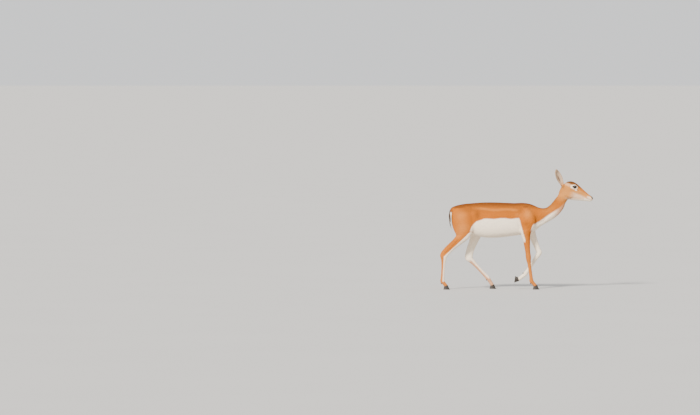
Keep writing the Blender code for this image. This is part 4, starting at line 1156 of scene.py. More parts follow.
def white_face(places):
    """Where the face is white: rings round the eyes, chin, lips and underside of the jaw."""
    along, aside, up = in_head(places).T
    chin = ramp(mouth_height(along) - 0.003 - up, -0.002, 0.005) * ramp(along, 0.2, 0.224) * 0.95
    jaw = ramp(level_of(JAW_BORDER, along) - up, -0.018, 0.018) * (0.1 + 0.66 * ramp(along, 0.04, 0.16))
    patch = ramp(np.hypot((along - 0.124) / 0.011, (up - 0.005) / 0.0085), 1.5, 0.4) * 0.86
    white = highest(
        chin,
        jaw * ramp(along, 0.0, 0.06),
        ramp(along, 0.205, 0.245) * 0.55 * ramp(up, 0.006, -0.004),
        0.46 * ramp(along, 0.05, 0.15) * ramp(up, 0.004, -0.03),
        0.34 * ramp(along, 0.095, 0.06) * ramp(up, -0.01, 0.012) * ramp(up, 0.046, 0.034),
    )
    for side in (-1, 1):
        _, share, q, above = eye_field(places, side)
        reach = 2.15 + 0.25 * np.clip(-q, -1, 1) + 0.1 * (above > 0)
        ring = ramp(share, 1.04, 1.14) * ramp(share / reach, 1.2, 0.66)
        white = highest(white, ring * 0.86, patch * (aside * side > 0.01))
    return white * head_share(places)


def dewclaw_share(places):
    """1 on the small claws behind the fetlocks."""
    share = np.zeros(len(places))
    for name in LEGS:
        for middle in dewclaw_places(name, *DEWCLAW_TIP)[2]:
            away = np.linalg.norm(places - np.array(middle), axis=1)
            share = np.maximum(share, ramp(away, 0.0088, 0.0068))
    return share


def bare_share(places):
    """Where dark skin shows or nearly so: nose, lids, lips and slits before the eyes; and a darker patch at
    the back of each ear's root.
    """
    along, aside, up = in_head(places).T
    top = np.hypot((along - 0.272) / 0.036, np.abs(aside) / 0.018)
    gap = np.abs(up - mouth_height(along))
    slit = np.hypot((along - 0.139) / 0.01, (up - 0.008 + 0.27 * (along - 0.139)) / 0.0019)
    bare = highest(
        ramp(along, 0.262, 0.269) * ramp(up, -0.0085, -0.0045),
        ramp(top, 1.12, 0.76) * ramp(up, -0.003, 0.003),
        ramp(gap, 0.0018, 0.0006) * ramp(along, 0.222, 0.232) * 0.56,
        ramp(slit, 1.8, 0.4) * 0.66,
    )
    for side in (-1, 1):
        lid, nostril = eye_field(places, side)[1], nostril_field(places, side)
        bare = highest(bare, ramp(lid, 1.36, 1.18), ramp(nostril, 1.9, 1.15))
    # A darker patch at the back of each ear's root
    notch = np.linalg.norm((places - np.array(EAR_NOTCH)) * (1, 0, 1), axis=1)
    notch = ramp(notch, 0.009, 0.003) * (np.abs(places[:, 1]) > 0.034) * 0.7
    return highest(bare * head_share(places), dewclaw_share(places), notch)


def ear_along(places):
    """The share of the ears' length at each place on them, and 0 off them."""
    along = np.zeros(len(places))
    for side in (-1, 1):
        way, away = np.array(ear_axes(side)[0]), places - np.array(ear_base(side))
        t = away @ way / EAR_LENGTH
        near = np.linalg.norm(away - np.outer(t * EAR_LENGTH, way), axis=1) < 0.034
        along = np.where((places[:, 1] * side > 0.02) & (t > 0.0) & near, t, along)
    return along


def ear_marks(places, normals):
    """On the ears: share of the cup's inside, of the painted shade in its hollow and of the dark edge."""
    along = ear_along(places)
    marks = np.zeros((3, len(places)))
    half = np.interp(along, EAR_SHARES, EAR_HALVES)
    for side in (-1, 1):
        _, faces, across = (np.array(way) for way in ear_axes(side))
        off = (places - np.array(ear_base(side))) @ across
        inner = ramp(normals @ faces, 0.0, 0.25)
        # Painted shade in the hollow of the cup
        cup_shade = ramp(np.hypot((along - 0.38) / 0.3, (off / half + 0.12) / 0.4), 1.35, 0.25) * inner
        rim = ramp(np.abs(off) / half, 0.93, 1.02) * 0.5 * ramp(along, 0.15, 0.4)
        on = (along > 0.01) & (places[:, 1] * side > 0)
        marks = np.where(on, (inner, cup_shade, np.maximum(rim, ramp(along, 0.95, 1.0))), marks)
    return marks.T


def tones_and_painted_light(places):
    """The shares of the lighter areas, partly painted highlight, and of the darker areas, partly painted
    shade.
    """
    x, y, z = places.T
    shares = np.zeros((2, len(places)))
    for x0, z0, wide, high, amount in TONES_AND_PAINTED_LIGHT:
        area = np.exp(-(((x - x0) / wide) ** 2) - ((z - z0) / high) ** 2) * ramp(np.abs(y), 0.006, 0.026)
        shares[int(amount < 0)] += area * abs(amount)
    return np.clip(shares, 0, 1)


def coat_marks(places, normals):
    """Shares of the coat's markings, and of its painted highlight and painted shade, at each place, in rows
    of three.
    """
    x, _, z = places.T
    along, aside, up = in_head(places).T
    face = head_share(places)
    middle = 0.648 - 0.05 * (x + 0.02) * (x < -0.02) + 0.003 * np.sin(x * 31)
    stripe = ramp(np.abs(z - middle), 0.019, 0.002) * ramp(x, -0.27, -0.12) * ramp(x, 0.205, 0.11)
    back = ramp(z, 0.648, 0.7) * ramp(x, 0.34, 0.24) + 0.75 * ramp(x, -0.368, -0.395) * ramp(z, 0.46, 0.54)
    ridge = ramp(normals[:, 2], 0.45, 1.0) * ramp(z, 0.62, 0.68) * (1 - face)
    behind_neck = -(normals[:, 0] * 0.86 - normals[:, 2] * 0.5)
    nape = ramp(behind_neck, -0.1, 0.9) * ramp(x, 0.26, 0.36) * (1 - face)
    throat = ramp(x, 0.26, 0.4) * ramp(behind_neck, 0.45, -0.6) * (1 - face)
    warm = ramp(z, 0.6, 0.66) * (ramp(x, -0.36, -0.3) * ramp(x, 0.2, 0.14))
    off_crown = np.hypot((along - 0.07) / (0.06 + 0.028 * (along > 0.07)), np.abs(aside) / 0.05)
    crown = ramp(off_crown, 1.4, 0.5) * ramp(up, 0.016, 0.036)
    over_nose = up - level_of(NOSE_LINE, along)
    bridge = ramp(along, 0.088, 0.125) * ramp(along, 0.255, 0.215) * ramp(over_nose, -0.006, 0.01) * face
    behind_head = ramp(along, -0.075, 0.055) * ramp(up, -0.15, -0.08)
    pale = np.maximum(ramp(z, 0.46, 0.16), 0.75 * throat)
    marks = {
        # Lighter and darker areas, partly painted highlight and painted shade, and the cheek's beige behind
        # the head
        "coat_tone": (*tones_and_painted_light(places), behind_head),
        "coat_back": (np.clip(back, 0, 1), stripe, np.maximum(ridge, 0.3 * nape)),
        "coat_pale": (white_share(places, normals), pale, ramp(ear_along(places), 0.02, 0.14)),
        "coat_face": (crown * face, bare_share(places), bridge),
        "coat_more": (face, warm, nape),
        "coat_ear": ear_marks(places, normals).T,
    }
    return {name: np.stack(shares, axis=1) for name, shares in marks.items()}


def hair_way(places, normals):
    """The way the hair lies at each place, along the skin."""
    own = in_head(places)
    face = head_share(places)[:, None]
    (off, down, _, _), _, best = nearest_limb(places)
    way = np.tile(np.array((-0.92, 0.0, -0.38)), (len(places), 1))
    way = blend(way, np.array((-0.72, 0.0, -0.7)), ramp(places[:, 0], 0.24, 0.34)[:, None])
    low = (ramp(places[:, 2], 0.5, 0.4) * ramp(off, 0.085, 0.06))[:, None]
    bones = np.array([rows_of(bones_of(name)) for name in LEGS])
    way = blend(way, bones[best, np.clip(down.astype(int), 0, 2)], low)
    back = np.array((-math.cos(HEAD_DROP), 0, math.sin(HEAD_DROP)))
    down_face = np.array((-math.sin(HEAD_DROP), 0, -math.cos(HEAD_DROP)))
    fall = ramp(own[:, 2], 0.03, -0.05)[:, None]
    way = blend(way, back * (1 - 0.45 * fall) + down_face * 0.55 * fall, face)
    for side in (-1, 1):
        own_eye, share, _, _ = eye_field(places, side)
        near = (ramp(share, 2.6, 1.6) * (share > 0.9))[:, None]
        out = unit(own_eye * np.array((0, 1, 1))) @ np.array(eye_matrix(side))[:3, :3].T
        way = blend(way, 0.6 * out + 0.7 * back, near)
        on_ear = (ramp(ear_along(places), 0.02, 0.14) * (places[:, 1] * side > 0))[:, None]
        way = blend(way, np.array(ear_axes(side)[0]), on_ear)
    return unit(along_skin(way, normals))


class Wire:
    """A value inside a material, which takes part in sums and products."""

    def __init__(self, finish, socket):
        self.finish = finish
        self.socket = socket

    def __add__(self, other):
        return self.finish.reckon("ADD", self, other)

    def __sub__(self, other):
        return self.finish.reckon("SUBTRACT", self, other)

    def __rsub__(self, other):
        return self.finish.reckon("SUBTRACT", other, self)

    def __mul__(self, other):
        return self.finish.reckon("MULTIPLY", self, other)

    def __radd__(self, other):
        return self + other

    def __rmul__(self, other):
        return self * other

    def clamped(self):
        """The value kept between 0 and 1."""
        return self.finish.reckon("MAXIMUM", self.finish.reckon("MINIMUM", self, 1.0), 0.0)


class Finish:
    """A material in the making, round its Principled shader."""

    def __init__(self, name, **constants):
        self.material = bpy.data.materials.new(name)
        self.material.use_nodes = True
        self.tree = self.material.node_tree
        self.shader = self.tree.nodes["Principled BSDF"]
        self.paint(**constants)

    def node(self, kind, settings, sockets, output=0):
        """What a node gives, with its settings made first, and then its sockets given values or links."""
        made = self.tree.nodes.new(kind)
        for name, value in settings.items():
            setattr(made, name, value)
        for key, value in sockets.items():
            self.feed(made.inputs[key], value)
        return Wire(self, made.outputs[output])

    def feed(self, socket, value):
        """Links a wire to a socket, or sets the socket's own value."""
        if isinstance(value, Wire):
            self.tree.links.new(value.socket, socket)
        else:
            socket.default_value = value

    def paint(self, **sockets):
        """Feeds the shader's named sockets."""
        for name, value in sockets.items():
            self.feed(self.shader.inputs[name.replace("_", " ")], value)
        return self.material

    def reckon(self, operation, first, second):
        """A sum or the like of two values."""
        return self.node("ShaderNodeMath", {"operation": operation}, {0: first, 1: second})

    def mix(self, share, first, second):
        """One colour turning into another."""
        pair = [colour if isinstance(colour, Wire) else (*colour, 1) for colour in (first, second)]
        return self.node("ShaderNodeMix", {"data_type": "RGBA"}, {0: share, 6: pair[0], 7: pair[1]}, 2)

    def shade(self, colour, amount):
        """A colour made darker or lighter by a factor."""
        return self.node("ShaderNodeVectorMath", {"operation": "SCALE"}, {0: colour, 3: amount})

    def carried(self, name):
        """The place that the mesh carries under a name."""
        return self.node("ShaderNodeAttribute", {"attribute_name": name}, {}, "Vector")

    def marks(self, name):
        """The three shares that the mesh carries under a name."""
        first = self.node("ShaderNodeSeparateXYZ", {}, {0: self.carried(name)})
        return [Wire(self, socket) for socket in first.socket.node.outputs]

    def place(self):
        """The place on the object, in metres."""
        return self.node("ShaderNodeTexCoord", {}, {}, "Object")

    def stretched(self, place, factors):
        """A place scaled by its three factors."""
        return self.node("ShaderNodeVectorMath", {"operation": "MULTIPLY"}, {0: place, 1: factors})

    def noise(self, place, scale, detail=2.0, roughness=0.5):
        """Soft noise between 0 and 1."""
        sockets = {"Vector": place, "Scale": scale, "Detail": detail, "Roughness": roughness}
        return self.node("ShaderNodeTexNoise", {"noise_dimensions": "3D"}, sockets)

    def edge(self, value, low, high):
        """0 below low and 1 above high, with a smooth rise between."""
        settings = {"interpolation_type": "SMOOTHSTEP"}
        return self.node("ShaderNodeMapRange", settings, {0: value, 1: low, 2: high, 3: 0.0, 4: 1.0})

    def bump(self, height, strength, distance):
        """Small relief, fed to the shader."""
        sockets = {"Strength": strength, "Distance": distance, "Height": height}
        self.feed(self.shader.inputs["Normal"], self.node("ShaderNodeBump", {}, sockets))


def coat_finish(name, coat, on_hair):
    """The coat's colours and markings, with painted highlight on the muscles and painted shade in the folds
    and in the ears' cups, for the skin or for the tufts that stand on it.
    """
    made = Finish(name, Roughness=0.8, Sheen_Weight=0.015, Sheen_Roughness=0.4, Specular_IOR_Level=0.06)
    place = made.carried("root_place") if on_hair else made.place()
    streak = made.noise(made.carried("lie_place"), coat.streak_scale, 2.0, 0.6)
    soft = made.noise(place, 38.0, 3.0, 0.6)
    fine = made.noise(place, 210.0, 2.0, 0.55)
    wobble = (soft - 0.5) * 0.34 + (fine - 0.5) * 0.3
    back, stripe, ridge = made.marks("coat_back")
    white, leg, ear = made.marks("coat_pale")
    crown, bare, bridge = made.marks("coat_face")
    _, warm, nape = made.marks("coat_more")
    inner, cup_shade, edge = made.marks("coat_ear")
    light, darker_and_shade, behind_head = made.marks("coat_tone")
    colour = made.mix(soft, coat.flank, coat.flank_deep)
    for share, over in (
        # Lighter tan, partly painted highlight on the haunch and shoulder
        ((light + wobble * 0.3).clamped() * 0.62, coat.light),
        (warm * 0.4, coat.back),
        (nape * 0.7, coat.nape),
        (made.edge(back + wobble * 0.5, 0.05, 0.95), coat.back),
        # Darker brown, partly painted shade in the flank fold, behind the shoulder and at the rump's edge
        ((darker_and_shade + wobble * 0.3).clamped() * 0.75, coat.back),
        (made.edge(stripe + wobble * 1.3, 0.05, 1.2) * 0.58, coat.stripe),
        (made.edge(ridge + wobble * 0.5, 0.05, 1.1), coat.ridge),
        (leg * 0.8, coat.leg),
        ((behind_head + wobble * 0.4).clamped(), coat.cheek),
        (made.edge(bridge + wobble * 0.7, 0.1, 0.9) * 0.9, coat.bridge),
        (made.edge(white + wobble * 0.45, 0.1, 0.86), coat.white),
        (made.edge(crown + wobble * 1.2 + (streak - 0.5) * 0.9, 0.05, 1.0) * 0.94, coat.crown),
    ):
        colour = made.mix(share, colour, over)
    # Painted shade in the hollow of the ear's cup
    cup_shade = made.edge(cup_shade + wobble * 0.9 + (streak - 0.5) * 0.6, 0.0, 1.15) * 0.85
    ears = made.mix(inner * 0.75, coat.ear, coat.ear_inside)
    ears = made.mix(edge * 0.55, made.mix(cup_shade, ears, coat.ear_dark_and_cup_shade), coat.ear_dark_and_cup_shade)
    colour = made.mix(ear * 0.9, colour, ears)
    colour = made.mix(made.edge(bare + wobble * 0.25, 0.25, 0.75), colour, coat.bare)
    depth = 0.8 + 0.4 * streak
    leather = made.edge(bare, 0.3, 0.9)
    if on_hair:
        tone, rise, _ = made.marks("tuft")
        depth = depth * (0.9 + 0.2 * tone) * (0.86 + 0.16 * rise)
    else:
        grain = made.noise(place, 1300.0, 2.0, 0.5)
        height = streak * (1 - leather) + grain * 0.5 * leather + fine * 0.25
        made.bump(height, coat.bump_strength, 0.0009)
    shine = 0.84 - leather * 0.34 + (fine - 0.5) * 0.1
    return made.paint(Base_Color=made.shade(colour, depth), Roughness=shine)


def set_marks(mesh, marks):
    """Keeps rows of three on the mesh's points under their names."""
    for name, rows in marks.items():
        layer = mesh.attributes.new(name, "FLOAT_VECTOR", "POINT")
        layer.data.foreach_set("vector", np.ascontiguousarray(rows, dtype=np.float32).ravel())


def lie_place(places, ways):
    """Places drawn together along the lie of the hair, so that noise over them runs in streaks."""
    return places - 0.9 * ways * np.sum(places * ways, axis=1)[:, None]


def unwrap(item):
    """Lays the item's surface out flat in a map named OFBake."""
    item.data.uv_layers.new(name="OFBake")
    bpy.ops.object.select_all(action="DESELECT")
    item.select_set(True)
    bpy.context.view_layer.objects.active = item
    bpy.ops.object.mode_set(mode="EDIT")
    bpy.ops.mesh.select_all(action="SELECT")
    bpy.ops.uv.smart_project(angle_limit=UNWRAP_ANGLE, island_margin=UNWRAP_MARGIN)
    bpy.ops.object.mode_set(mode="OBJECT")


def shift_to_frame():
    """How the frame's solids lie from the places of the tables."""
    low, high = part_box("hoof_outer_fore_right")
    joint = LEGS["fore_right"][-1]
    inner = -(joint[1] + CLAW_PARTING + SOLE[2])
    return np.array((high.x - joint[0] - SOLE[1], low.y - inner, low.z))


def placed(item, nodes=()):
    """Moves a finished piece onto the solids, hangs it on the root and hides the nodes that it stands for."""
    places = vertex_places(item.data) + shift_to_frame()
    set_places(item.data, places)
    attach(item, "root")
    if nodes:
        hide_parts(*nodes)


def flesh_nodes():
    """The nodes of flesh that the skin stands for."""
    names = ["torso", "neck", "head", "ear_left", "ear_right"]
    names += [kind + side for kind in ("shoulder_", "thigh_") for side in ("left", "right")]
    for name in LEGS:
        middle = "gaskin_" if name.startswith("hind") else "forearm_"
        names += [kind + name for kind in (middle, "cannon_", "foot_")]
    return names


def skin_table(item):
    """The skin's triangles for planting: corners, places, ways outwards, flat map and markings."""
    mesh = item.data
    corners, places = triangles_of(mesh), vertex_places(mesh) - shift_to_frame()
    flat = read(mesh.uv_layers["OFBake"].uv, "vector", 2, np.float32)
    rows = {}
    for name in MARK_NAMES + ("hair_way", "lie_place"):
        rows[name] = read(mesh.attributes[name].data, "vector", 3, np.float32).astype(float)
    a, b, c = (places[corners[:, k]] for k in range(3))
    return {
        "corners": corners,
        "places": places,
        "normals": vertex_normals(mesh),
        "flat": flat.reshape(-1, 3, 2).astype(float),
        "rows": rows,
        "area": np.linalg.norm(np.cross(b - a, c - a), axis=1) / 2,
        "middle": (a + b + c) / 3,
        "tree": BVHTree.FromPolygons(places.tolist(), corners.tolist()),
    }


def tuft_sizes(places, normals, size):
    """Length, width and rise of the tufts at each place."""
    face, along = head_share(places), ear_along(places)
    low, lowest = ramp(places[:, 2], 0.47, 0.32), ramp(places[:, 2], 0.14, 0.05)
    length = size.body_length * (1 - 0.12 * ramp(places[:, 0], 0.24, 0.34))
    length = length * (1 + 0.15 * ramp(normals[:, 2], -0.3, -0.8) * (places[:, 2] > 0.4))
    length = length * (1 - low) + size.leg_length * (1 - 0.25 * lowest) * low
    on_face = size.face_length * (1 - 0.62 * ramp(in_head(places)[:, 0], 0.06, 0.24))
    for side in (-1, 1):
        near = np.linalg.norm(places - np.array(ear_base(side)), axis=1)
        face = np.maximum(face, ramp(near, 0.07, 0.04))
        on_face = on_face * (1 - 0.55 * ramp(eye_field(places, side)[1], 2.4, 1.2))
    ear, inner = ramp(along, 0.02, 0.16), ear_marks(places, normals)[:, 0]
    on_ear = size.ear_length * (1 + 1.1 * inner * ramp(along, 0.62, 0.3))
    length = blend(blend(length, on_face, face), on_ear, ear)
    width = size.tuft_width * (length / size.body_length) ** 0.85
    depth = coat_depth(places)
    rise = blend(depth, np.minimum(depth, FACE_COAT), face) * (1 - ear) + EAR_RISE * ear
    return length, width, rise


def piece_weight(table, piece):
    """How thickly tufts of a piece stand on each triangle of the skin."""
    places, corners = table["middle"], table["corners"]
    x, y, z = places.T
    along = ear_along(places)
    ears = along > 0.03
    head = (head_share(places) > 0.5) | ears | (in_head(places)[:, 0] > 0.02) & (z > 0.76)
    neck = ~head & (x > 0.245) & (z > 0.47)
    (off, down, _, _), hind, _ = nearest_limb(places)
    leg = ~head & ~neck & (z < 0.42) & (off < 0.075) & ~((np.abs(x) < 0.13) & (z > 0.405))
    haunch = ~leg & (x < -0.2)
    trunk = ~head & ~neck & ~leg & ~haunch
    choice = {
        "head": head & ~ears,
        "ears": ears,
        "neck": neck,
        "trunk_right": trunk & (y <= 0),
        "trunk_left": trunk & (y > 0),
        "haunches": haunch,
        "hind_legs": leg & hind,
        "fore_legs": leg & ~hind,
    }[piece]
    bare = table["rows"]["coat_face"][corners, 1].mean(axis=1)
    choice = choice & (bare < 0.45) & ~((down > 2.93) & (z < 0.36))
    inner = ear_marks(places, table["normals"][corners].mean(axis=1))[:, 0]
    half = np.interp(along, EAR_SHARES, EAR_HALVES)
    for side in (-1, 1):
        away = places - np.array(ear_base(side))
        beside = np.abs(away @ np.array(ear_axes(side)[2])) / half
        choice &= ~((np.linalg.norm(away, axis=1) < 0.013) & (inner > 0.2))
        choice &= ~((along > 0.1) & (y * side > 0) & (beside > 0.93))
        choice &= (eye_field(places, side)[1] >= 1.14) & (nostril_field(places, side) >= 1.7)
    return table["area"] * choice


def planted(table, piece, count, size, chance):
    """Roots of a piece's tufts, spread evenly by area, with what each needs to know of the skin there."""
    normals = table["normals"][table["corners"]].mean(axis=1)
    length, width, _ = tuft_sizes(table["middle"], normals, size)
    weight = piece_weight(table, piece) / (length * width) ** 0.6
    running = np.cumsum(weight)
    steps = (np.arange(count) + chance.random(count)) / count * running[-1]
    chosen = np.clip(np.searchsorted(running, steps), 0, len(weight) - 1)
    share = chance.random((count, 2))
    folded = share.sum(axis=1) > 1
    share[folded] = 1 - share[folded]
    share = np.stack((1 - share.sum(axis=1), share[:, 0], share[:, 1]), axis=1)

    def blended(rows):
        """Rows blended between the corners of each tuft's triangle."""
        return np.einsum("nk,nkd->nd", share, rows)

    corners = table["corners"][chosen]
    rows = {name: blended(rows[corners]) for name, rows in table["rows"].items()}
    outward = unit(blended(table["normals"][corners]))
    return blended(table["places"][corners]), outward, blended(table["flat"][chosen]), rows


def on_skin(tree, roots, steps, outward):
    """The ends of steps from the roots, brought onto the skin, with its outward ways there."""
    where, ways = roots + steps, outward.copy()
    for k in range(len(roots)):
        place, normal, _, _ = tree.find_nearest(where[k])
        if normal.dot(Vector(outward[k])) > 0.2:
            where[k] = place
            ways[k] = normal
        else:
            where[k] = roots[k] + steps[k] * 0.3
    return where, ways


def tuft_mesh(table, piece, count, size, chance):
    """The tufts of a piece: flat wedges that taper to a point and follow the skin."""
    roots, outward, flat, rows = planted(table, piece, count, size, chance)
    length, width, rise = tuft_sizes(roots, outward, size)
    way = along_skin(unit(rows["hair_way"]), outward)
    wave = np.sin(roots @ np.array((61.0, 83.0, 47.0))) + np.sin(roots @ np.array((-37.0, 29.0, 90.0)) + 1.0)
    turn = (TUFT_WAVE * wave + chance.normal(0, TUFT_SPREAD, count))[:, None]
    way = unit(way * np.cos(turn) + np.cross(outward, way) * np.sin(turn))
    length = length * chance.uniform(0.72, 1.15, count)
    ahead_out = on_skin(table["tree"], roots, way * length[:, None], outward)[1]
    length = (length * (0.25 + 0.75 * ramp(np.sum(ahead_out * outward, axis=1), 0.35, 0.75)))[:, None]
    half = (width * chance.uniform(0.75, 1.2, count) / 2)[:, None]
    rise = (rise * chance.uniform(0.75, 1.1, count))[:, None]
    middle, middle_out = on_skin(table["tree"], roots, way * length * 0.5, outward)
    tip, tip_out = on_skin(table["tree"], roots, way * length, outward)
    thick, beside = half * TUFT_THICKNESS, np.cross(outward, way) * half
    sunk = outward * np.minimum(TUFT_SINK, rise * 0.5)
    points = (
        roots - beside * 0.8 - sunk,
        roots + beside * 0.8 - sunk,
        roots + outward * thick,
        middle - beside + middle_out * rise * 0.3,
        middle + beside + middle_out * rise * 0.3,
        middle + middle_out * (rise * 0.36 + thick),
        tip + tip_out * rise * 0.2,
    )
    corners = (np.arange(count)[:, None, None] * len(points) + np.array(TUFT_TRIANGLES)[None]).reshape(-1, 3)
    mesh = mesh_from("coat_" + piece, np.stack(points, axis=1).reshape(-1, 3), corners)
    rows["root_place"] = roots
    rows["tuft"] = np.tile(chance.random(count)[:, None], 3)
    marks = {name: np.repeat(rows[name], len(points), axis=0) for name in MARK_NAMES + TUFT_NAMES}
    marks["tuft"][:, 1] = np.tile(TUFT_RISES, count)
    set_marks(mesh, marks)
    patch = np.clip(flat, PATCH / 2, 1 - PATCH / 2)[:, None, :] + np.array(TUFT_PATCH)[None] * PATCH
    layer = mesh.uv_layers.new(name="OFBake")
    layer.uv.foreach_set("vector", patch.reshape(-1, 2)[corners.ravel()].astype(np.float32).ravel())
    mesh.shade_smooth()
    shading = unit(0.58 * np.repeat(outward, len(points), axis=0) + 0.42 * vertex_normals(mesh))
    mesh.normals_split_custom_set_from_vertices(shading.tolist())
    return mesh


def eye_surface(side):
    """The eyeball with its bulging clear front, as rings round its line of sight, in the eye's frame."""
    form = bmesh.new()
    rings = []
    for angle in np.radians(np.concatenate((np.linspace(0.8, 60, 34), np.linspace(64, 176, 20)))):
        radius = EYE_RADIUS + EYE_BULGE * math.exp(-((angle / math.radians(34)) ** 4)) - EYE_CLEARANCE
        ahead, out = radius * math.cos(angle), radius * math.sin(angle)
        rings.append([(ahead, out * math.cos(turn), out * math.sin(turn)) for turn in turns(EYE_TURNS)])
    add_loft(form, rings, eye_matrix(side))
    mesh = mesh_of(form, "eye")
    own = in_frame(vertex_places(mesh), eye_matrix(side).inverted())
    set_marks(mesh, {"eye_place": np.stack((-side * own[:, 1], own[:, 2], own[:, 0]), axis=1) / EYE_RADIUS})
    mesh.shade_smooth()
    return mesh


def eye_finish(look):
    """Dark brown iris with a wide pupil, under a clear wet front."""
    made = Finish("eye_wet", Roughness=0.06, Coat_Weight=0.15, Coat_Roughness=0.03, Specular_IOR_Level=0.22)
    across, up, _ = made.marks("eye_place")
    level = up + across * 0.17
    pupil = made.edge(across * across * 2.2 + level * level * 6.0, 0.75, 1.1)
    limit = made.edge(across * across + up * up, 0.46, 0.6)
    iris = made.mix(made.noise(made.carried("eye_place"), 14.0, 3.0, 0.7), look.iris, look.iris_pale)
    return made.paint(Base_Color=made.mix(limit, made.mix(pupil, look.pupil, iris), look.rim))


def fine_strand(form, root, way, bend, length, width, front):
    """A thin hair that curves from its root and tapers to its tip."""
    shares = np.linspace(0, 1, 6)
    widths = [width * (1 - 0.85 * t) for t in shares]
    points = [root + way * (length * t) + bend * (length * t * t) for t in shares]
    hair_strand(form, points, widths, [w * 0.6 for w in widths], front)


def add_lashes(form, side, chance):
    """The dark lashes of one eye, longest on the upper lid."""
    place = eye_matrix(side)
    turn = place.to_3x3()
    radius = EYE_RADIUS + LID_EDGE + 0.0002
    for angle, length in LASHES:
        angle = math.radians(angle + chance.uniform(-1.5, 1.5))
        q, m = 1.05 * math.cos(angle), 1.05 * math.sin(angle)
        along, above = q * EYE_OPENING[0], m * EYE_OPENING[1] * (1 - 0.25 * min(q * q, 1))
        ahead, up = slanted(along, above, -EYE_SLANT)
        root = Vector((math.sqrt(max(radius**2 - ahead**2 - up**2, 1e-8)), -side * ahead, up))
        out = root.normalized()
        bend = Vector((0, 0, math.copysign(0.45, m))) - out * 0.15
        way = (turn @ (out + Vector((0, -side * ahead * 18, math.copysign(0.2, m))))).normalized()
        length *= chance.uniform(0.8, 1.1)
        fine_strand(form, place @ root, way, turn @ bend, length, LASH_WIDTH, turn @ Vector((0, 0, 1)))


def add_whiskers(form, side, chance):
    """The stiff hairs round the lips and chin on one side."""
    place = head_matrix()
    turn = place.to_3x3()
    bend, up_way = turn @ Vector((-0.22, 0, -0.16)), Vector((0, 0, 1))
    for along, up, length in WHISKERS:
        width = 0.6 * np.interp(along, [row[0] for row in HEAD], [row[3] for row in HEAD])
        root = place @ Vector((along, side * width, up))
        way = turn @ Vector((0.35 * chance.uniform(0.2, 1.0), side, -0.45 + 0.3 * chance.random()))
        length *= chance.uniform(0.8, 1.1)
        fine_strand(form, root, way.normalized(), bend, length, WHISKER_WIDTH, up_way)


def claw_outline(sizes, side, plane):
    """A claw's outline at one level: straight within, bowed without and pointed ahead."""
    heel, toe, width = sizes
    middle, reach = (heel + toe) / 2, (toe - heel) / 2
    ring = []
    for turn in turns(CLAW_TURNS):
        q = math.cos(turn)
        y = CLAW_PARTING + width / 2 * (1 - 0.42 * max(q, 0) ** 1.5) * (1 + math.sin(turn))
        x = middle + reach * q
        ring.append(Vector((x, side * y, plane(x))))
    return ring


def claw_form(form, name, side):
    """One claw with the fine rings of its growth, a bevelled ground edge and a sunk sole."""
    crown = claw_outline(CROWN, side, lambda x: CORONET_HEIGHT + math.tan(CORONET_SLOPE) * x)
    sole = claw_outline(SOLE, side, lambda x: 0.0)
    sole_heart, crown_heart = (sum(ring, Vector()) / len(ring) for ring in (sole, crown))
    rings = []
    for share, lift in SOLE_STEPS:
        rings.append([p.lerp(sole_heart, share) + Vector((0, 0, lift)) for p in sole])
    for t in np.linspace(0.05, 1.0, CLAW_RINGS):
        heart = sole_heart.lerp(crown_heart, t)
        growth = GROWTH_DEPTH * math.sin(t * GROWTH_PACE) + CROWN_LIP * math.exp(-(((t - 0.97) / 0.04) ** 2))
        waist = growth - CLAW_WAIST * math.sin(math.pi * t)
        points = [low.lerp(high, t) for low, high in zip(sole, crown)]
        rings.append([point + (point - heart) * waist for point in points])
    foot = Matrix.Translation(leg_joints(name)[-1]) @ Matrix.Rotation(FOOT_PITCH[name], 4, "Y")
    add_loft(form, rings, foot @ Matrix.Translation((0, 0, -CORONET_HEIGHT)))


def horn_finish(name, look):
    """Black horn with growth rings, scuffed and dusty in scattered patches."""
    made = Finish(name, Roughness=0.42, Specular_IOR_Level=0.45)
    place = made.place()
    rings = made.noise(made.stretched(place, (60.0, 60.0, 900.0)), 1.0, 2.0, 0.6)
    scuff = made.noise(place, 160.0, 4.0, 0.65)
    fine = made.noise(made.stretched(place, (900.0, 900.0, 120.0)), 1.0, 2.0, 0.5)
    colour = made.mix(rings, look.horn, look.horn_pale)
    colour = made.mix(made.edge(scuff, 0.52, 0.72) * 0.5, colour, look.dust)
    made.bump(rings * 0.7 + fine * 0.3, 0.35, 0.0004)
    return made.paint(Base_Color=colour, Roughness=0.36 + scuff * 0.25)


def hair_strand(form, points, widths, thicknesses, front):
    """A flat tapered lock along the points, with its broad side to the front."""
    rings = []
    for i, (point, width, thick) in enumerate(zip(points, widths, thicknesses)):
        way = (points[min(i + 1, len(points) - 1)] - points[max(i - 1, 0)]).normalized()
        flat = (front - front.dot(way) * way).normalized()
        across, w, t = way.cross(flat), width / 2, thick / 2
        ring = [point + across * w * math.cos(turn) + flat * t * math.sin(turn) for turn in turns(HAIR_TURNS)]
        rings.append(ring)
    add_loft(form, rings)


